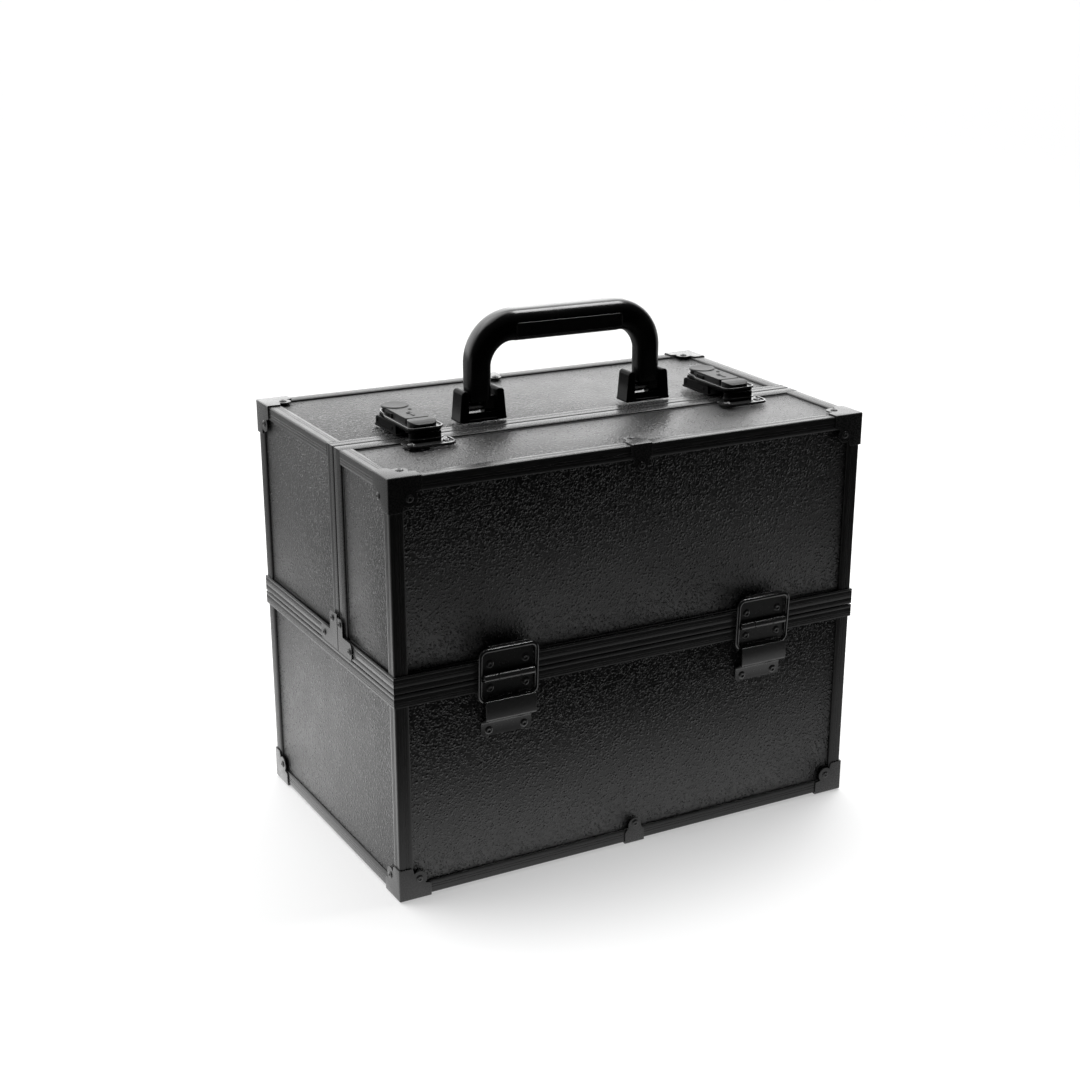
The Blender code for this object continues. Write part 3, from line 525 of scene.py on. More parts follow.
piece(
    "base_edge_profiles",
    merged(
        edge_x(-1, False, HX - 2.2), edge_x(1, False, HX - 2.2),
        base_rim(),
    ),
    EDGE_X, "base", ("base_frame",), bevel=0.08, segments=1,
)
piece("base_side_profiles", merged(edge_y(-1, False, 2.2 - HY, HY - 2.2), edge_y(1, False, 2.2 - HY, HY - 2.2)), EDGE_Y, "base", bevel=0.08, segments=1)
piece(
    "base_corner_profiles",
    merged(*[edge_z(xs, ys, 2.2, 138.9) for xs in (-1, 1) for ys in (-1, 1)]),
    EDGE_Z, "base", bevel=0.08, segments=1,
)

for side, y_side in (("front", -1), ("rear", 1)):
    split = SPLIT_Y * y_side + 0.5
    body = f"{side}_lid"
    top_x = skin([[(x, HY - a, HEIGHT - b) for x in (2.2 - HX, HX - 2.2)] for a, b in ANGLE])
    sides = [skin([[(xs * (HX - a), y, HEIGHT - b) for y in (split + 10.4, HY - 2.2)] for a, b in ANGLE]) for xs in (-1, 1)]
    uprights = [skin([[(xs * (HX - a), HY - b, z) for z in (159.4, HEIGHT - 2.2)] for a, b in ANGLE]) for xs in (-1, 1)]
    piece(f"{side}_lid_long_profile", mirrored(top_x, y=y_side), EDGE_X, body, (f"{side}_lid_edge_frame",), bevel=0.08, segments=1)
    piece(f"{side}_lid_side_profiles", mirrored(merged(*sides), y=y_side), EDGE_Y, body, bevel=0.08, segments=1)
    piece(f"{side}_lid_corner_profiles", mirrored(merged(*uprights), y=y_side), EDGE_Z, body, bevel=0.08, segments=1)
    piece(f"{side}_lid_split_profile", mirrored(split_band(split, 159.7), y=y_side), BAND, body, bevel=0.08, segments=1)
    piece(f"{side}_lid_rim_profile", mirrored(lid_rim(split), y=y_side), EDGE_X, body, (f"{side}_lid_rim",), bevel=0.08, segments=1)


def thin_box(x0, x1, y0, y1, z0, z1):
    return prism([(x0, y0), (x1, y0), (x1, y1), (x0, y1)], "z", z0, z1)


def painted_shadow_strips(side, y_side):
    """Painted shadow: thin near-black strips laid on the panels where they run in under the profiles of a lid, standing
    in for the shade in that gap.
    """
    split = SPLIT_Y * y_side + 0.5
    # the painted shadow along the front edge of the front lid's band is the wide one
    wide = 2.0 if side == "front" else 0.5
    skin_z, skin_x, skin_y = 287.5, 177.5, 110.5
    near, low = split + 11.0, 159.6
    shapes = [thin_box(-169.0, 169.0, near - 0.3, near + wide, skin_z - 0.2, skin_z + 0.16)]
    for xs in (-1, 1):
        x0, x1 = sorted((xs * (skin_x - 0.2), xs * (skin_x + 0.16)))
        shapes.append(thin_box(x0, x1, near - 0.3, near + wide, low, 279.2))
        shapes.append(thin_box(x0, x1, near, HY - 11.0, low - 0.3, low + 1.0))
        a, b = sorted((xs * 169.3, xs * 168.6))
        shapes.append(thin_box(a, b, near, HY - 11.0, skin_z - 0.2, skin_z + 0.13))
    shapes.append(thin_box(-169.0, 169.0, skin_y - 0.2, skin_y + 0.16, low - 0.3, low + 0.9))
    shapes.append(thin_box(-169.0, 169.0, HY - 11.4, HY - 10.8, skin_z - 0.2, skin_z + 0.13))
    return mirrored(merged(*shapes), y=y_side)


for side, y_side in (("front", -1), ("rear", 1)):
    # each lid gets its strips of painted shadow along its profiles
    piece(f"{side}_lid_seams", painted_shadow_strips(side, y_side), PAINTED_SHADOW, f"{side}_lid", bevel=0.0)

# ---- corner caps, clamps and side plates ----

CAP_LEG, CAP_LOBE, CAP_R = 23.0, 14.5, 5.6
CAP_OUTLINE = (
    [(0.0, 0.0), (CAP_LEG, 0.0), (CAP_LEG, 8.8), (CAP_LEG - 0.3, 9.5), (CAP_LEG - 1.2, 10.0), (CAP_LEG - 2.2, 10.3)]
    + arc((CAP_LOBE, CAP_LOBE), CAP_R, -42, 132, 16)
    + [(10.3, CAP_LEG - 2.2), (10.0, CAP_LEG - 1.2), (9.5, CAP_LEG - 0.3), (8.8, CAP_LEG), (0.0, CAP_LEG)]
)
CAP_T = 0.95


def on_corner_edge(h0):
    def test(a, b):
        def hits(p):
            return (abs(abs(p.x) - HX) < 0.01) + (abs(abs(p.y) - HY) < 0.01) + (abs(p.z - h0) < 0.01)

        return hits(a) >= 2 and hits(b) >= 2

    return test


def corner_cap(x_side, y_side, top):
    def height(t):
        return HEIGHT - t if top else t

    flat = [(HX - s, HY - t) for s, t in CAP_OUTLINE]
    on_x = [(HY - s, height(t)) for s, t in CAP_OUTLINE]
    on_y = [(HX - s, height(t)) for s, t in CAP_OUTLINE]
    z0, z1 = sorted((height(CAP_T), height(0.0)))
    cap = union(
        prism(flat, "z", z0, z1),
        prism(on_x, "x", HX - CAP_T, HX),
        prism(on_y, "y", HY - CAP_T, HY),
    )
    cap = softened(cap, 0.85, on_corner_edge(height(0.0)), 3)
    shapes = [
        cap,
        rivet("x", (HY - CAP_LOBE, height(CAP_LOBE)), HX),
        rivet("y", (HX - CAP_LOBE, height(CAP_LOBE)), HY),
    ]
    if top:
        shapes.append(rivet("z", (HX - CAP_LOBE, HY - CAP_LOBE), HEIGHT))
    return mirrored(merged(*shapes), x=x_side, y=y_side)


def clamp_outline():
    half, tip = 7.75, 5.2
    return (
        [(half, 0.0), (half, 8.6), (half - 0.6, 9.6), (tip + 0.5, 10.9), (tip, 12.0)]
        + arc((0.0, 13.8), tip, 0, 180, 16)
        + [(-tip, 12.0), (-tip - 0.5, 10.9), (-half + 0.6, 9.6), (-half, 8.6), (-half, 0.0)]
    )


def edge_clamp(y_side, top):
    def height(t):
        return HEIGHT - t if top else t

    z0, z1 = sorted((height(CAP_T), height(0.0)))
    saddle = union(
        prism([(s, HY - t) for s, t in clamp_outline()], "z", z0, z1),
        prism([(s, height(t)) for s, t in clamp_outline()], "y", HY - CAP_T, HY),
    )
    saddle = softened(saddle, 0.85, on_corner_edge(height(0.0)), 3)
    shapes = [saddle, rivet("y", (0.0, height(15.0)), HY)]
    if top:
        shapes.append(rivet("z", (0.0, HY - 15.0), HEIGHT))
    return mirrored(merged(*shapes), y=y_side)


for x_side, across in ((-1, "left"), (1, "right")):
    for y_side, along in ((-1, "front"), (1, "rear")):
        piece(f"base_corner_{along}_{across}", corner_cap(x_side, y_side, False), PRESSED, "base", (f"base_cap_{along}_{across}",), bevel=0.3)
        piece(f"{along}_lid_corner_{across}", corner_cap(x_side, y_side, True), PRESSED, f"{along}_lid", (f"{along}_lid_cap_{across}",), bevel=0.3)
piece("base_front_saddle", edge_clamp(-1, False), PRESSED, "base", ("base_front_clamp",), bevel=0.2)
piece("front_lid_saddle", edge_clamp(-1, True), PRESSED, "front_lid", ("front_lid_clamp",), bevel=0.2)
piece("rear_lid_saddle", edge_clamp(1, True), PRESSED, "rear_lid", ("rear_lid_clamp",), bevel=0.2)

PLATE_LOW = 148.5
REAR_PLATE = (
    [(SPLIT_Y + 0.4, PLATE_LOW)] + arc((1.0, PLATE_LOW + 3.0), 3.0, -90, 0, 5) + arc((1.0, 156.8), 3.0, 0, 90, 5)
    + arc((-10.5, 161.3), 1.5, 270, 180, 4) + arc((-15.0, 171.0), 3.0, 0, 90, 5) + [(SPLIT_Y + 0.4, 174.0)]
)
FRONT_PLATE = (
    [(SPLIT_Y - 0.4, PLATE_LOW), (SPLIT_Y - 0.4, 172.0)] + arc((-30.5, 169.0), 3.0, 90, 180, 5)
    + arc((-35.0, 162.0), 1.5, 0, -90, 4) + arc((-45.0, 157.5), 3.0, 90, 180, 5) + arc((-45.0, PLATE_LOW + 3.0), 3.0, 180, 270, 5)
)
for x_side, across in ((-1, "left"), (1, "right")):
    for side, outline, spots in (
        ("rear", REAR_PLATE, [(-16.8, 169.6), (-1.7, 154.3)]),
        ("front", FRONT_PLATE, [(-29.3, 168.4), (-44.5, 154.4)]),
    ):
        shapes = [prism(outline, "x", 180.3, 181.1)] + [rivet("x", spot, 181.1) for spot in spots]
        piece(f"{side}_side_plate_{across}", mirrored(merged(*shapes), x=x_side), PRESSED, f"{side}_lid", (f"{side}_lid_plate_{across}",), bevel=0.2)

# ---- hinges and wire stays ----

PIN_U, PIN_Z = 116.0, 148.5
LEAF_HALF = 18.5
STAY_TOP, STAY_BOTTOM = (116.2, 167.5), (114.6, 131.9)
LEAF_IN, LEAF_OUT = 113.3, 114.3


def barrel(centre, radius, bore, low, high):
    """A rolled knuckle: a tube with rounded mouths."""
    length, e = high - low, 0.25
    profile = [(bore, 0.3), (bore + 0.15, 0.0), (radius - e, 0.0), (radius, e), (radius, length - e), (radius - e, length), (bore + 0.15, length), (bore, length - 0.3)]
    bm = bmesh.new()
    steps = 32
    rings = []
    for r, h in profile:
        rings.append([bm.verts.new((r * math.cos(2 * math.pi * i / steps), r * math.sin(2 * math.pi * i / steps), h)) for i in range(steps)])
    for near, far in zip(rings, rings[1:] + rings[:1]):
        for i in range(steps):
            j = (i + 1) % steps
            bm.faces.new((near[i], near[j], far[j], far[i]))
    bmesh.ops.translate(bm, vec=(*centre, low), verts=bm.verts)
    bmesh.ops.transform(bm, matrix=in_place("x"), verts=bm.verts)
    return closed(bm)


def lid_leaf():
    gap = 7.8
    plate = [(-LEAF_HALF, PIN_Z), (-gap, PIN_Z), (-gap, PIN_Z + 3.0), (gap, PIN_Z + 3.0), (gap, PIN_Z), (LEAF_HALF, PIN_Z)]
    plate += [(LEAF_HALF, 162.2), (LEAF_HALF - 0.8, 163.2), (15.2, 164.3), (14.2, 165.2), (14.0, 166.0), (14.0, 169.6)]
    plate += [(-14.0, 169.6), (-14.0, 166.0), (-14.2, 165.2), (-15.2, 164.3), (-LEAF_HALF + 0.8, 163.2), (-LEAF_HALF, 162.2)]
    shapes = [prism(plate, "y", LEAF_IN, LEAF_OUT)]
    for low, high in ((-LEAF_HALF, -gap), (gap, LEAF_HALF)):
        shapes.append(barrel((PIN_U, PIN_Z), 2.65, 1.45, low, high))
    # the leaf's end curls over the wire's top bar, which stays in sight in front of it
    centre = STAY_TOP
    curl = arc(centre, 2.75, 100, 172, 8) + arc(centre, 1.75, 172, 100, 8)
    shapes.append(prism(curl, "x", -14.0, 14.0))
    for x in (-13.0, 13.0):
        shapes.append(rivet("y", (x, 157.2), LEAF_OUT, 1, 2.9, 0.8))
    return merged(*shapes)


def base_leaf():
    low = 134.6
    plate = [(-LEAF_HALF, low + 2.0), (-LEAF_HALF + 0.6, low + 0.6), (-LEAF_HALF + 2.0, low), (LEAF_HALF - 2.0, low), (LEAF_HALF - 0.6, low + 0.6)]
    plate += [(LEAF_HALF, low + 2.0), (LEAF_HALF, PIN_Z - 3.0), (7.5, PIN_Z - 3.0), (7.5, PIN_Z), (-7.5, PIN_Z), (-7.5, PIN_Z - 3.0), (-LEAF_HALF, PIN_Z - 3.0)]
    shapes = [prism(plate, "y", LEAF_IN, LEAF_OUT), barrel((PIN_U, PIN_Z), 2.65, 1.3, -7.5, 7.5)]
    shapes.append(rod("x", (PIN_U, PIN_Z), 1.28, -LEAF_HALF - 0.15, LEAF_HALF + 0.15, 0.35, 24))
    for x in (-13.0, 13.0):
        shapes.append(rivet("y", (x, 140.4), LEAF_OUT, 1, 2.9, 0.8))
    return merged(*shapes)


def stay_bridge():
    """The lower plate, stepped out from its foot into the bridge, with a pressed foot and rounded corners."""
    wall, t, out = 110.8, 1.0, 118.7
    profile = [(wall, 106.0), (wall + t, 106.0), (wall + t, 114.4)]
    profile += [(wall + t + 0.15, 115.1), (wall + t + 0.5, 115.6), (out + t - 0.7, 119.4), (out + t - 0.15, 120.1), (out + t, 121.0), (out + t, 132.5)]
    profile += arc((out + 0.15, 132.5), 0.85, 0, 180, 8)[1:-1] + [(out - 0.7, 132.5), (out, 131.8)]
    profile += [(out, 121.2), (out - 0.25, 120.6), (wall + 0.3, 116.0), (wall, 115.3)]
    body = prism(profile, "x", -LEAF_HALF, LEAF_HALF)
    corner_cut = []
    for s in (-1, 1):
        points = [(s * (LEAF_HALF + 2), 104.0), (s * (LEAF_HALF - 2.5), 104.0)] + [
            (s * (LEAF_HALF - 2.5 + 2.5 * math.sin(math.radians(a))), 106.0 + 2.5 - 2.5 * math.cos(math.radians(a))) for a in range(0, 91, 15)
        ] + [(s * (LEAF_HALF + 2), 108.5)]
        corner_cut.append(("DIFFERENCE", prism(points, "y", 100.0, 130.0)))
    body = joined(body, *corner_cut)
    shapes = [body]
    for x in (-13.0, 13.0):
        shapes.append(rivet("y", (x, 109.7), wall + t, 1, 2.9, 0.8))
    return merged(*shapes)


def wire_stay(name, x, y_side, body, node):
    """A closed loop of round wire."""
    top, bottom = Vector((0, *STAY_TOP)), Vector((0, *STAY_BOTTOM))
    up = (top - bottom).normalized()
    length = (top - bottom).length
    outline = rounded(-20.5, 20.5, 0.0, length, 4.5, 10)
    centres = [bottom + Vector((a, 0, 0)) + up * b for a, b in outline]
    keep = [p for i, p in enumerate(centres) if (p - centres[i - 1]).length > 0.05]
    count, steps, radius = len(keep), 14, 1.5
    side = Vector((1, 0, 0))
    normal = side.cross(up).normalized()
    bm = bmesh.new()
    rings = []
    for i, p in enumerate(keep):
        tangent = (keep[(i + 1) % count] - keep[i - 1]).normalized()
        out = tangent.cross(normal).normalized()
        rings.append([
            bm.verts.new(p + (out * math.cos(2 * math.pi * k / steps) + normal * math.sin(2 * math.pi * k / steps)) * radius) for k in range(steps)
        ])
    for near, far in zip(rings, rings[1:] + rings[:1]):
        for k in range(steps):
            j = (k + 1) % steps
            bm.faces.new((near[k], near[j], far[j], far[k]))
    return piece(name, moved(mirrored(closed(bm), y=y_side), x=x), WIRE, body, (node,), bevel=0.0)


for y_side, side in ((-1, "front"), (1, "rear")):
    for x_side, across in ((-1, "left"), (1, "right")):
        x = 100.0 * x_side
        piece(f"{side}_hinge_{across}_upper", moved(mirrored(lid_leaf(), y=y_side), x=x), HINGE, f"{side}_lid", (f"{side}_hinge_{across}_leaf",), bevel=0.22)
        piece(f"{side}_hinge_{across}_lower", moved(mirrored(base_leaf(), y=y_side), x=x), HINGE, "base", (f"{side}_hinge_{across}_base_leaf",), bevel=0.22)
        piece(f"{side}_hinge_{across}_bridge", moved(mirrored(stay_bridge(), y=y_side), x=x), HINGE, "base", (f"{side}_stay_{across}_bridge",), bevel=0.22)
        wire_stay(f"{side}_wire_{across}", x, y_side, f"{side}_{across}_stay", f"{side}_stay_{across}")

# ---- handle ----

HANDLE_Y, HANDLE_Z = -6.0, 298.0
GRIP_TOP = 363.0


def handle_section(point, tangent, thick, depth):
    """A soft oblong across the handle's path."""
    normal = Vector((tangent.z, 0.0, -tangent.x))
    corner = 0.36 * min(thick, depth)
    ring = rounded(-thick / 2, thick / 2, -depth / 2, depth / 2, corner, 6)
    return [point + normal * a + Vector((0.0, b, 0.0)) for a, b in ring]


def handle_grip():
    leg, across, turn = 17.5, 21.5, 35.75
    centre_x = 75.0 - leg / 2
    bend = Vector((75.0 - turn, 0, GRIP_TOP - turn))
    up = Vector((0, 0, 1))
    stations = [
        (Vector((centre_x, 0, 302.6)), up, leg - 1.6, 12.0),
        (Vector((centre_x, 0, 303.1)), up, leg - 0.4, 12.9),
        (Vector((centre_x, 0, 304.0)), up, leg, 13.2),
        (Vector((centre_x, 0, 309.0)), up, leg, 14.0),
    ]
    for i in range(25):
        angle = math.radians(90 * i / 24)
        out = Vector((math.cos(angle), 0, math.sin(angle)))
        share = i / 24
        thick = leg + (across - leg) * share
        stations.append((bend + out * (turn - thick / 2), Vector((-out.z, 0, out.x)), thick, 15.5 + 4.5 * share))
    half = stations + [(Vector((20.0, 0, GRIP_TOP - across / 2)), Vector((-1, 0, 0)), across, 20.0)]
    whole = half + [(Vector((-p.x, 0, p.z)), Vector((t.x, 0, -t.z)), w, d) for p, t, w, d in reversed(half)]
    rings = [handle_section(*station) for station in whole]
    grip = moved(skin([list(line) for line in zip(*rings)]), y=HANDLE_Y)
    shapes = []
    for x_side in (-1, 1):
        middle = 65.0 * x_side
        lug = (
            [(HANDLE_Y - 4.6, 306.0), (HANDLE_Y - 4.6, HANDLE_Z)]
            + arc((HANDLE_Y, HANDLE_Z), 4.6, 190, 350, 14)
            + [(HANDLE_Y + 4.6, HANDLE_Z), (HANDLE_Y + 4.6, 306.0)]
        )
        cut = joined(prism(lug, "x", middle + 2.3, middle + 9.8), ("DIFFERENCE", rod("x", (HANDLE_Y, HANDLE_Z), 2.3, middle - 5, middle + 15)))
        shapes.append(cut)
        # the web that closes the other half of the channel, behind the pin
        shapes.append(prism(rounded(middle - 7.2, middle + 2.0, 294.4, 306.0, 0.8, 3), "y", HANDLE_Y + 2.7, HANDLE_Y + 4.5))
    return grip, shapes


def handle_bracket():
    foot, head, inner = 17.95, 15.75, 10.5
    low, top, front, rear = MOUNT_Z, 311.0, HANDLE_Y - 7.35, HANDLE_Y + 7.35

    def ear(sign):
        """One cheek from the front: a round-topped post that widens to the foot."""
        r = 2.6
        outer = [(sign * foot, low), (sign * foot, low + 1.4), (sign * (foot - 0.5), low + 2.2), (sign * (head + 0.2), top - r)]
        crown = [(sign * (head + 0.2 - r + r * math.cos(math.radians(a))), top - r + r * math.sin(math.radians(a))) for a in range(15, 91, 15)]
        return outer + crown

    right, left = ear(1), ear(-1)
    inside = [(inner + 1.6, top), (inner + 0.5, top - 0.4), (inner, top - 1.6), (inner, low + 2.2)]
    outline = right + inside + [(-x, z) for x, z in reversed(inside)] + left[::-1]
    # a low wall across the front of the channel, which the pin shows above
    wall = prism([(-inner - 0.6, low + 1.0), (inner + 0.6, low + 1.0), (inner + 0.6, 295.6), (-inner - 0.6, 295.6)], "y", front + 0.7, front + 2.3)
    return prism(outline, "y", front, rear), wall


grip, lugs = handle_grip()
piece("handle_body", grip, GLOSS, "handle", ("handle_grip",), bevel=0.0)
piece("handle_lugs", merged(*lugs), GLOSS, "handle", bevel=0.4)
face = HANDLE_Y - 10.0
piece("handle_panel", prism(rounded(-41.0, 41.0, 345.2, 354.6, 1.6), "y", face - 0.55, face + 1.5), PANEL, "handle", bevel=0.3, segments=3)
for x_side, across in ((-1, "left"), (1, "right")):
    x = 65.0 * x_side
    foot, wall = handle_bracket()
    piece(f"handle_foot_{across}", moved(foot, x=x), FOOT, "rear_lid", (f"handle_bracket_{across}",), bevel=1.1, segments=4)
    piece(f"handle_foot_wall_{across}", moved(wall, x=x), FOOT, "rear_lid", bevel=0.4)
    piece(f"handle_pin_{across}", moved(rod("x", (HANDLE_Y, HANDLE_Z), 2.0, -12.5, 12.5, 0.3), x=x), STEEL, "rear_lid", bevel=0.0)

# ---- latches ----

PIVOT_Y, PIVOT_Z = 10.0, 293.5


def lever_outline(extra, nose, steps=18):
    rear, side = 8.75 + extra, 11.5 + extra
    return (
        [(side - 4.2, nose), (side - 2.4, nose + 0.7), (side - 0.6, nose + 2.9), (side, nose + 4.8), (side, -6.4), (side - 0.5, -4.8), (rear + 0.15, 0.4)]
        + arc((0.0, 5.0), rear, 12, 168, steps)
        + [(-rear - 0.15, 0.4), (-side + 0.5, -4.8), (-side, -6.4), (-side, nose + 4.8), (-side + 0.6, nose + 2.9), (-side + 2.4, nose + 0.7), (-side + 4.2, nose)]
    )


def latch_lever():
    """A pressed boat: a skirt all round, a lip on it, a raised plate and a nose; skirt and lip are separate pieces that
    take a painted shade and a painted highlight.
    """
    y, z = PIVOT_Y, PIVOT_Z
    lug = [(y + 2.6, 297.5), (y - 2.6, 297.5), (y - 2.6, z)] + arc((y, z), 2.6, 190, 350, 14) + [(y + 2.6, z)]
    skirt = [
        prism(lever_outline(0.3, -46.2), "z", 296.6, 298.7),
        joined(prism(lug, "x", -8.0, 8.0), ("DIFFERENCE", rod("x", (y, z), 1.8, -12.0, 12.0))),
    ]
    lip = joined(prism(lever_outline(1.2, -47.0), "z", 298.5, 299.9), ("DIFFERENCE", prism(lever_outline(0.2, -46.0), "z", 299.0, 301.0)))
    nose_side = [(-31.8, 298.6), (-31.8, 302.8), (-38.5, 302.8), (-41.6, 302.3), (-43.6, 301.2), (-43.8, 300.3), (-41.0, 298.6)]
    nose = joined(prism(nose_side, "x", -20.0, 20.0), ("INTERSECT", prism(rounded(-9.4, 9.4, -43.6, -31.4, 5.0, 10), "z", 290.0, 310.0)))
    plate = prism(rounded(-8.3, 8.3, -31.1, 4.0, 1.4, 4), "z", 298.6, 303.0)
    # pressed details on the plate: a keyhole boss, a pin hole rim and ribs beside the disc
    top = [plate, nose]
    top.append(turned([(0, 0.1), (0.9, 0.1), (1.0, 0.4), (1.5, 0.5), (1.95, 0.4), (2.2, 0.0), (2.2, -0.4), (0, -0.4)], "z", (0.0, -18.0), 303.0, 1, 24))
    top.append(prism(rounded(-0.85, 0.85, -26.0, -19.6, 0.8, 4), "z", 302.8, 303.4))
    top.append(turned([(0, -0.3), (1.3, -0.3), (1.4, 0.25), (1.1, 0.3), (0.85, 0.05), (0, 0.02)], "z", (4.6, -9.0), 303.0, 1, 20))
    for s in (-1, 1):
        for k in range(4):
            yy = -9.6 + 2.3 * k
            a, b = sorted((s * 7.9, s * 9.6))
            top.append(prism(rounded(a, b, yy - 0.6, yy + 0.6, 0.4, 3), "z", 298.6, 301.6))
    return merged(*skirt), lip, merged(*top)


def latch_hub():
    """The round thumb disc at the lever's rear end."""
    return turned([(0, 0), (8.4, 0), (8.4, 3.2), (9.4, 3.7), (9.4, 4.5), (9.1, 4.85), (8.6, 4.95), (7.4, 4.85), (4.0, 4.75), (0, 4.7)], "z", (0.0, 5.0), 298.6, 1, 48)


def latch_case():
    y, z = PIVOT_Y, PIVOT_Z
    cheek = [(-20.0, MOUNT_Z + 1.0), (y + 2.7, MOUNT_Z + 1.0)] + arc((y, z), 2.7, 0, 90, 8) + [(-19.0, z + 2.7), (-20.0, z + 1.9)]
    shapes = [
        prism(rounded(-11.5, 11.5, -23.0, y + 4.5, 2.4, 6), "z", MOUNT_Z, MOUNT_Z + 1.2),
        prism(cheek, "x", -10.8, -8.6),
        prism(cheek, "x", 8.6, 10.8),
        rod("x", (y, z), 1.5, -11.3, 11.3, 0.4),
        rod("x", (-14.0, z - 0.4), 1.4, -11.3, -8.7, 0.4),
        rod("x", (-14.0, z - 0.4), 1.4, 8.7, 11.3, 0.4),
    ]
    return merged(*shapes)


def strike():
    """The catch plate: round ears with rivets, a raised rim and a raised ledge."""
    plate = prism(rounded(-18.0, 18.0, -56.8, -38.0, 7.0, 10), "z", MOUNT_Z, MOUNT_Z + 0.9)
    lip = joined(
        prism(rounded(-17.6, 17.6, -56.4, -38.4, 6.6, 10), "z", MOUNT_Z + 0.7, MOUNT_Z + 1.5),
        ("DIFFERENCE", prism(rounded(-16.4, 16.4, -55.2, -36.0, 5.6, 10), "z", MOUNT_Z + 0.9, MOUNT_Z + 3.0)),
    )
    ledge = prism(rounded(-12.4, 12.4, -47.8, -38.6, 4.8, 10), "z", MOUNT_Z + 2.7, MOUNT_Z + 3.4)
    shapes = [plate, lip, ledge]
    shapes += [rivet("z", (s * 12.4, -48.6), MOUNT_Z + 0.9, 1, 2.7, 0.8) for s in (-1, 1)]
    return merged(*shapes)


def catch_block():
    """The hooked block that the lever's nose closes over, rounded at its front corners."""
    body = prism(rounded(-11.2, 11.2, -46.4, -38.4, 4.0, 10), "z", MOUNT_Z + 0.6, 295.9)
    mouth = prism(rounded(-6.6, 6.6, MOUNT_Z + 1.4, MOUNT_Z + 3.0, 0.5, 3), "y", -48.0, -44.6)
    return joined(body, ("DIFFERENCE", mouth))


for x_side, across in ((-1, "left"), (1, "right")):
    x = 122.0 * x_side
    skirt, lip, top = latch_lever()
    # the skirt takes the darker copy of the lacquer, painted shade
    piece(f"latch_lever_skirt_{across}", moved(skirt, x=x), LATCH_SHADED, f"latch_{across}", (f"latch_lever_{across}",), bevel=0.35, segments=3)
    # the lip takes the lighter copy of the lacquer, painted highlight
    piece(f"latch_lever_lip_{across}", moved(lip, x=x), LATCH_LIT, f"latch_{across}", bevel=0.3, segments=3)
    piece(f"latch_lever_top_{across}", moved(top, x=x), LATCH, f"latch_{across}", bevel=0.4, segments=3)
    # the catch block takes the darker copy of the lacquer, painted shade
    piece(f"latch_block_{across}", moved(catch_block(), x=x), LATCH_SHADED, "front_lid", bevel=0.4, segments=3)
    piece(f"latch_disc_{across}", moved(latch_hub(), x=x), DISC, f"latch_{across}", bevel=0.0)
    # the housing takes the darker copy of the lacquer, painted shade
    piece(f"latch_housing_{across}", moved(latch_case(), x=x), LATCH_SHADED, "rear_lid", (f"latch_case_{across}",), bevel=0.25)
    # the catch plate takes the lighter copy of the lacquer, painted highlight
    piece(f"latch_catch_{across}", moved(strike(), x=x), LATCH_LIT, "front_lid", (f"latch_strike_{across}",), bevel=0.3, segments=3)

# ---- floor, light and camera ----

STUDIO = bpy.context.scene


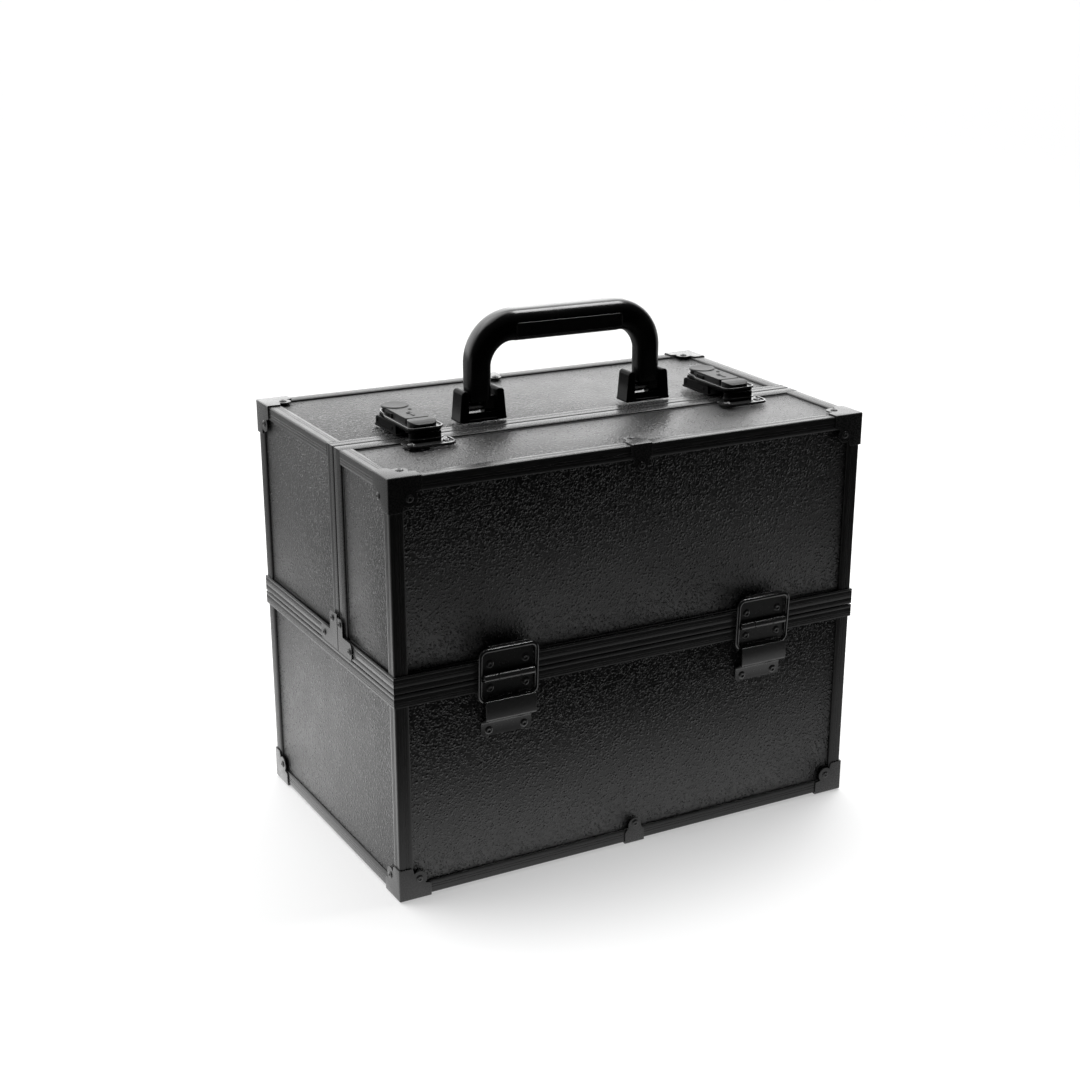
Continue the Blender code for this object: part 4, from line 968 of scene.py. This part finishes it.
def floor():
    bm = bmesh.new()
    bmesh.ops.create_grid(bm, x_segments=2, y_segments=2, size=30.0)
    mesh = bpy.data.meshes.new("floor")
    bm.to_mesh(mesh)
    bm.free()
    made = bpy.data.objects.new("floor", mesh)
    made.location = (0.0, 0.0, -0.0006)
    STUDIO.collection.objects.link(made)
    paper = bpy.data.materials.new("floor_paper")
    paper.use_nodes = True
    tree = paper.node_tree
    shader = tree.nodes["Principled BSDF"]
    shader.inputs["Roughness"].default_value = 0.9
    shader.inputs["Base Color"].default_value = (0.5, 0.5, 0.5, 1)
    shader.inputs["Specular IOR Level"].default_value = 0.1
    # What the case sees of the floor: a lit sweep behind and to its left, falling off in front
    place = tree.nodes.new("ShaderNodeTexCoord")
    aim = tree.nodes.new("ShaderNodeVectorMath")
    aim.operation = "DOT_PRODUCT"
    aim.inputs[1].default_value = (-0.45, 0.89, 0.0)
    tree.links.new(place.outputs["Object"], aim.inputs[0])
    ramp = tree.nodes.new("ShaderNodeMapRange")
    ramp.interpolation_type = "SMOOTHSTEP"
    for key, value in (("From Min", -0.25), ("From Max", 0.35), ("To Min", 0.0), ("To Max", 1.0)):
        ramp.inputs[key].default_value = value
    tree.links.new(aim.outputs["Value"], ramp.inputs["Value"])
    far = tree.nodes.new("ShaderNodeVectorMath")
    far.operation = "LENGTH"
    tree.links.new(place.outputs["Object"], far.inputs[0])
    ahead = tree.nodes.new("ShaderNodeVectorMath")
    ahead.operation = "DOT_PRODUCT"
    ahead.inputs[1].default_value = (-0.25, -0.97, 0.0)
    tree.links.new(place.outputs["Object"], ahead.inputs[0])
    near_back = tree.nodes.new("ShaderNodeMapRange")
    near_back.interpolation_type = "SMOOTHSTEP"
    for key, value in (("From Min", 0.2), ("From Max", 0.85), ("To Min", BACK_NEAR), ("To Max", BACK_FAR)):
        near_back.inputs[key].default_value = value
    tree.links.new(far.outputs["Value"], near_back.inputs["Value"])
    near_front = tree.nodes.new("ShaderNodeMapRange")
    near_front.interpolation_type = "SMOOTHSTEP"
    for key, value in (("From Min", 0.16), ("From Max", 0.36), ("To Min", FRONT_NEAR), ("To Max", FRONT_FAR)):
        near_front.inputs[key].default_value = value
    tree.links.new(ahead.outputs["Value"], near_front.inputs["Value"])
    mix = tree.nodes.new("ShaderNodeMix")
    mix.data_type = "FLOAT"
    tree.links.new(ramp.outputs["Result"], mix.inputs[0])
    tree.links.new(near_front.outputs["Result"], mix.inputs[2])
    tree.links.new(near_back.outputs["Result"], mix.inputs[3])
    card = tree.nodes.new("ShaderNodeEmission")
    tree.links.new(mix.outputs[0], card.inputs["Strength"])
    # What the camera sees: white paper with the case's soft shadow
    lift = tree.nodes.new("ShaderNodeEmission")
    lift.inputs["Strength"].default_value = 0.42
    seen = tree.nodes.new("ShaderNodeAddShader")
    tree.links.new(shader.outputs[0], seen.inputs[0])
    tree.links.new(lift.outputs[0], seen.inputs[1])
    path = tree.nodes.new("ShaderNodeLightPath")
    pick = tree.nodes.new("ShaderNodeMixShader")
    tree.links.new(path.outputs["Is Camera Ray"], pick.inputs[0])
    tree.links.new(card.outputs[0], pick.inputs[1])
    tree.links.new(seen.outputs[0], pick.inputs[2])
    tree.links.new(pick.outputs[0], tree.nodes["Material Output"].inputs["Surface"])
    mesh.materials.append(paper)


BACK_NEAR, BACK_FAR = 2.3, 0.55
FRONT_NEAR, FRONT_FAR = 1.0, 0.0
floor()


def studio_world():
    """A bright wall behind the case that fades to a dim room in front of it."""
    world = bpy.data.worlds.new("studio")
    world.use_nodes = True
    tree = world.node_tree
    place = tree.nodes.new("ShaderNodeTexCoord")
    aim = tree.nodes.new("ShaderNodeVectorMath")
    aim.operation = "DOT_PRODUCT"
    aim.inputs[1].default_value = (-0.05, 0.98, 0.12)
    tree.links.new(place.outputs["Generated"], aim.inputs[0])
    ramp = tree.nodes.new("ShaderNodeMapRange")
    ramp.interpolation_type = "SMOOTHSTEP"
    for key, value in (("From Min", -0.1), ("From Max", 0.7), ("To Min", 0.02), ("To Max", 2.85)):
        ramp.inputs[key].default_value = value
    tree.links.new(aim.outputs["Value"], ramp.inputs["Value"])
    glow = tree.nodes["Background"]
    tree.links.new(ramp.outputs["Result"], glow.inputs["Strength"])
    plain = tree.nodes.new("ShaderNodeBackground")
    plain.inputs["Color"].default_value = (1, 1, 1, 1)
    plain.inputs["Strength"].default_value = 1.0
    glow.inputs["Color"].default_value = (1, 1, 1, 1)
    path = tree.nodes.new("ShaderNodeLightPath")
    pick = tree.nodes.new("ShaderNodeMixShader")
    tree.links.new(path.outputs["Is Camera Ray"], pick.inputs[0])
    tree.links.new(glow.outputs[0], pick.inputs[1])
    tree.links.new(plain.outputs[0], pick.inputs[2])
    tree.links.new(pick.outputs[0], tree.nodes["World Output"].inputs["Surface"])
    STUDIO.world = world


studio_world()


def softbox(name, spot, aim, size, power):
    data = bpy.data.lights.new(name, "AREA")
    data.shape = "RECTANGLE"
    data.size, data.size_y = size
    data.energy = power
    made = bpy.data.objects.new(name, data)
    made.location = spot
    made.rotation_euler = (Vector(aim) - Vector(spot)).to_track_quat("-Z", "Y").to_euler()
    STUDIO.collection.objects.link(made)


softbox("key", (-0.45, 0.6, 1.8), (0, 0, 0.15), (1.6, 1.6), 18.0)
softbox("overhead", (0.75, 0.1, 1.75), (0, 0, 0.15), (0.8, 0.55), 24.0)

view = bpy.data.cameras.new("view")
view.sensor_width = 36.0
view.lens = 61.72
view.shift_x, view.shift_y = -0.0857, 0.0783
view.clip_end = 100.0
camera = bpy.data.objects.new("view", view)
right = Vector((0.8580197, -0.5133318, 0.0171075))
up = Vector((0.1677130, 0.3114987, 0.9353293))
back = Vector((-0.4854632, -0.7996618, 0.3533644))
camera.matrix_world = Matrix((
    (right.x, up.x, back.x, -0.6098),
    (right.y, up.y, back.y, -1.1093),
    (right.z, up.z, back.z, 0.6051),
    (0, 0, 0, 1),
))
STUDIO.collection.objects.link(camera)
STUDIO.camera = camera
STUDIO.view_settings.view_transform = "Standard"
STUDIO.view_settings.look = "None"
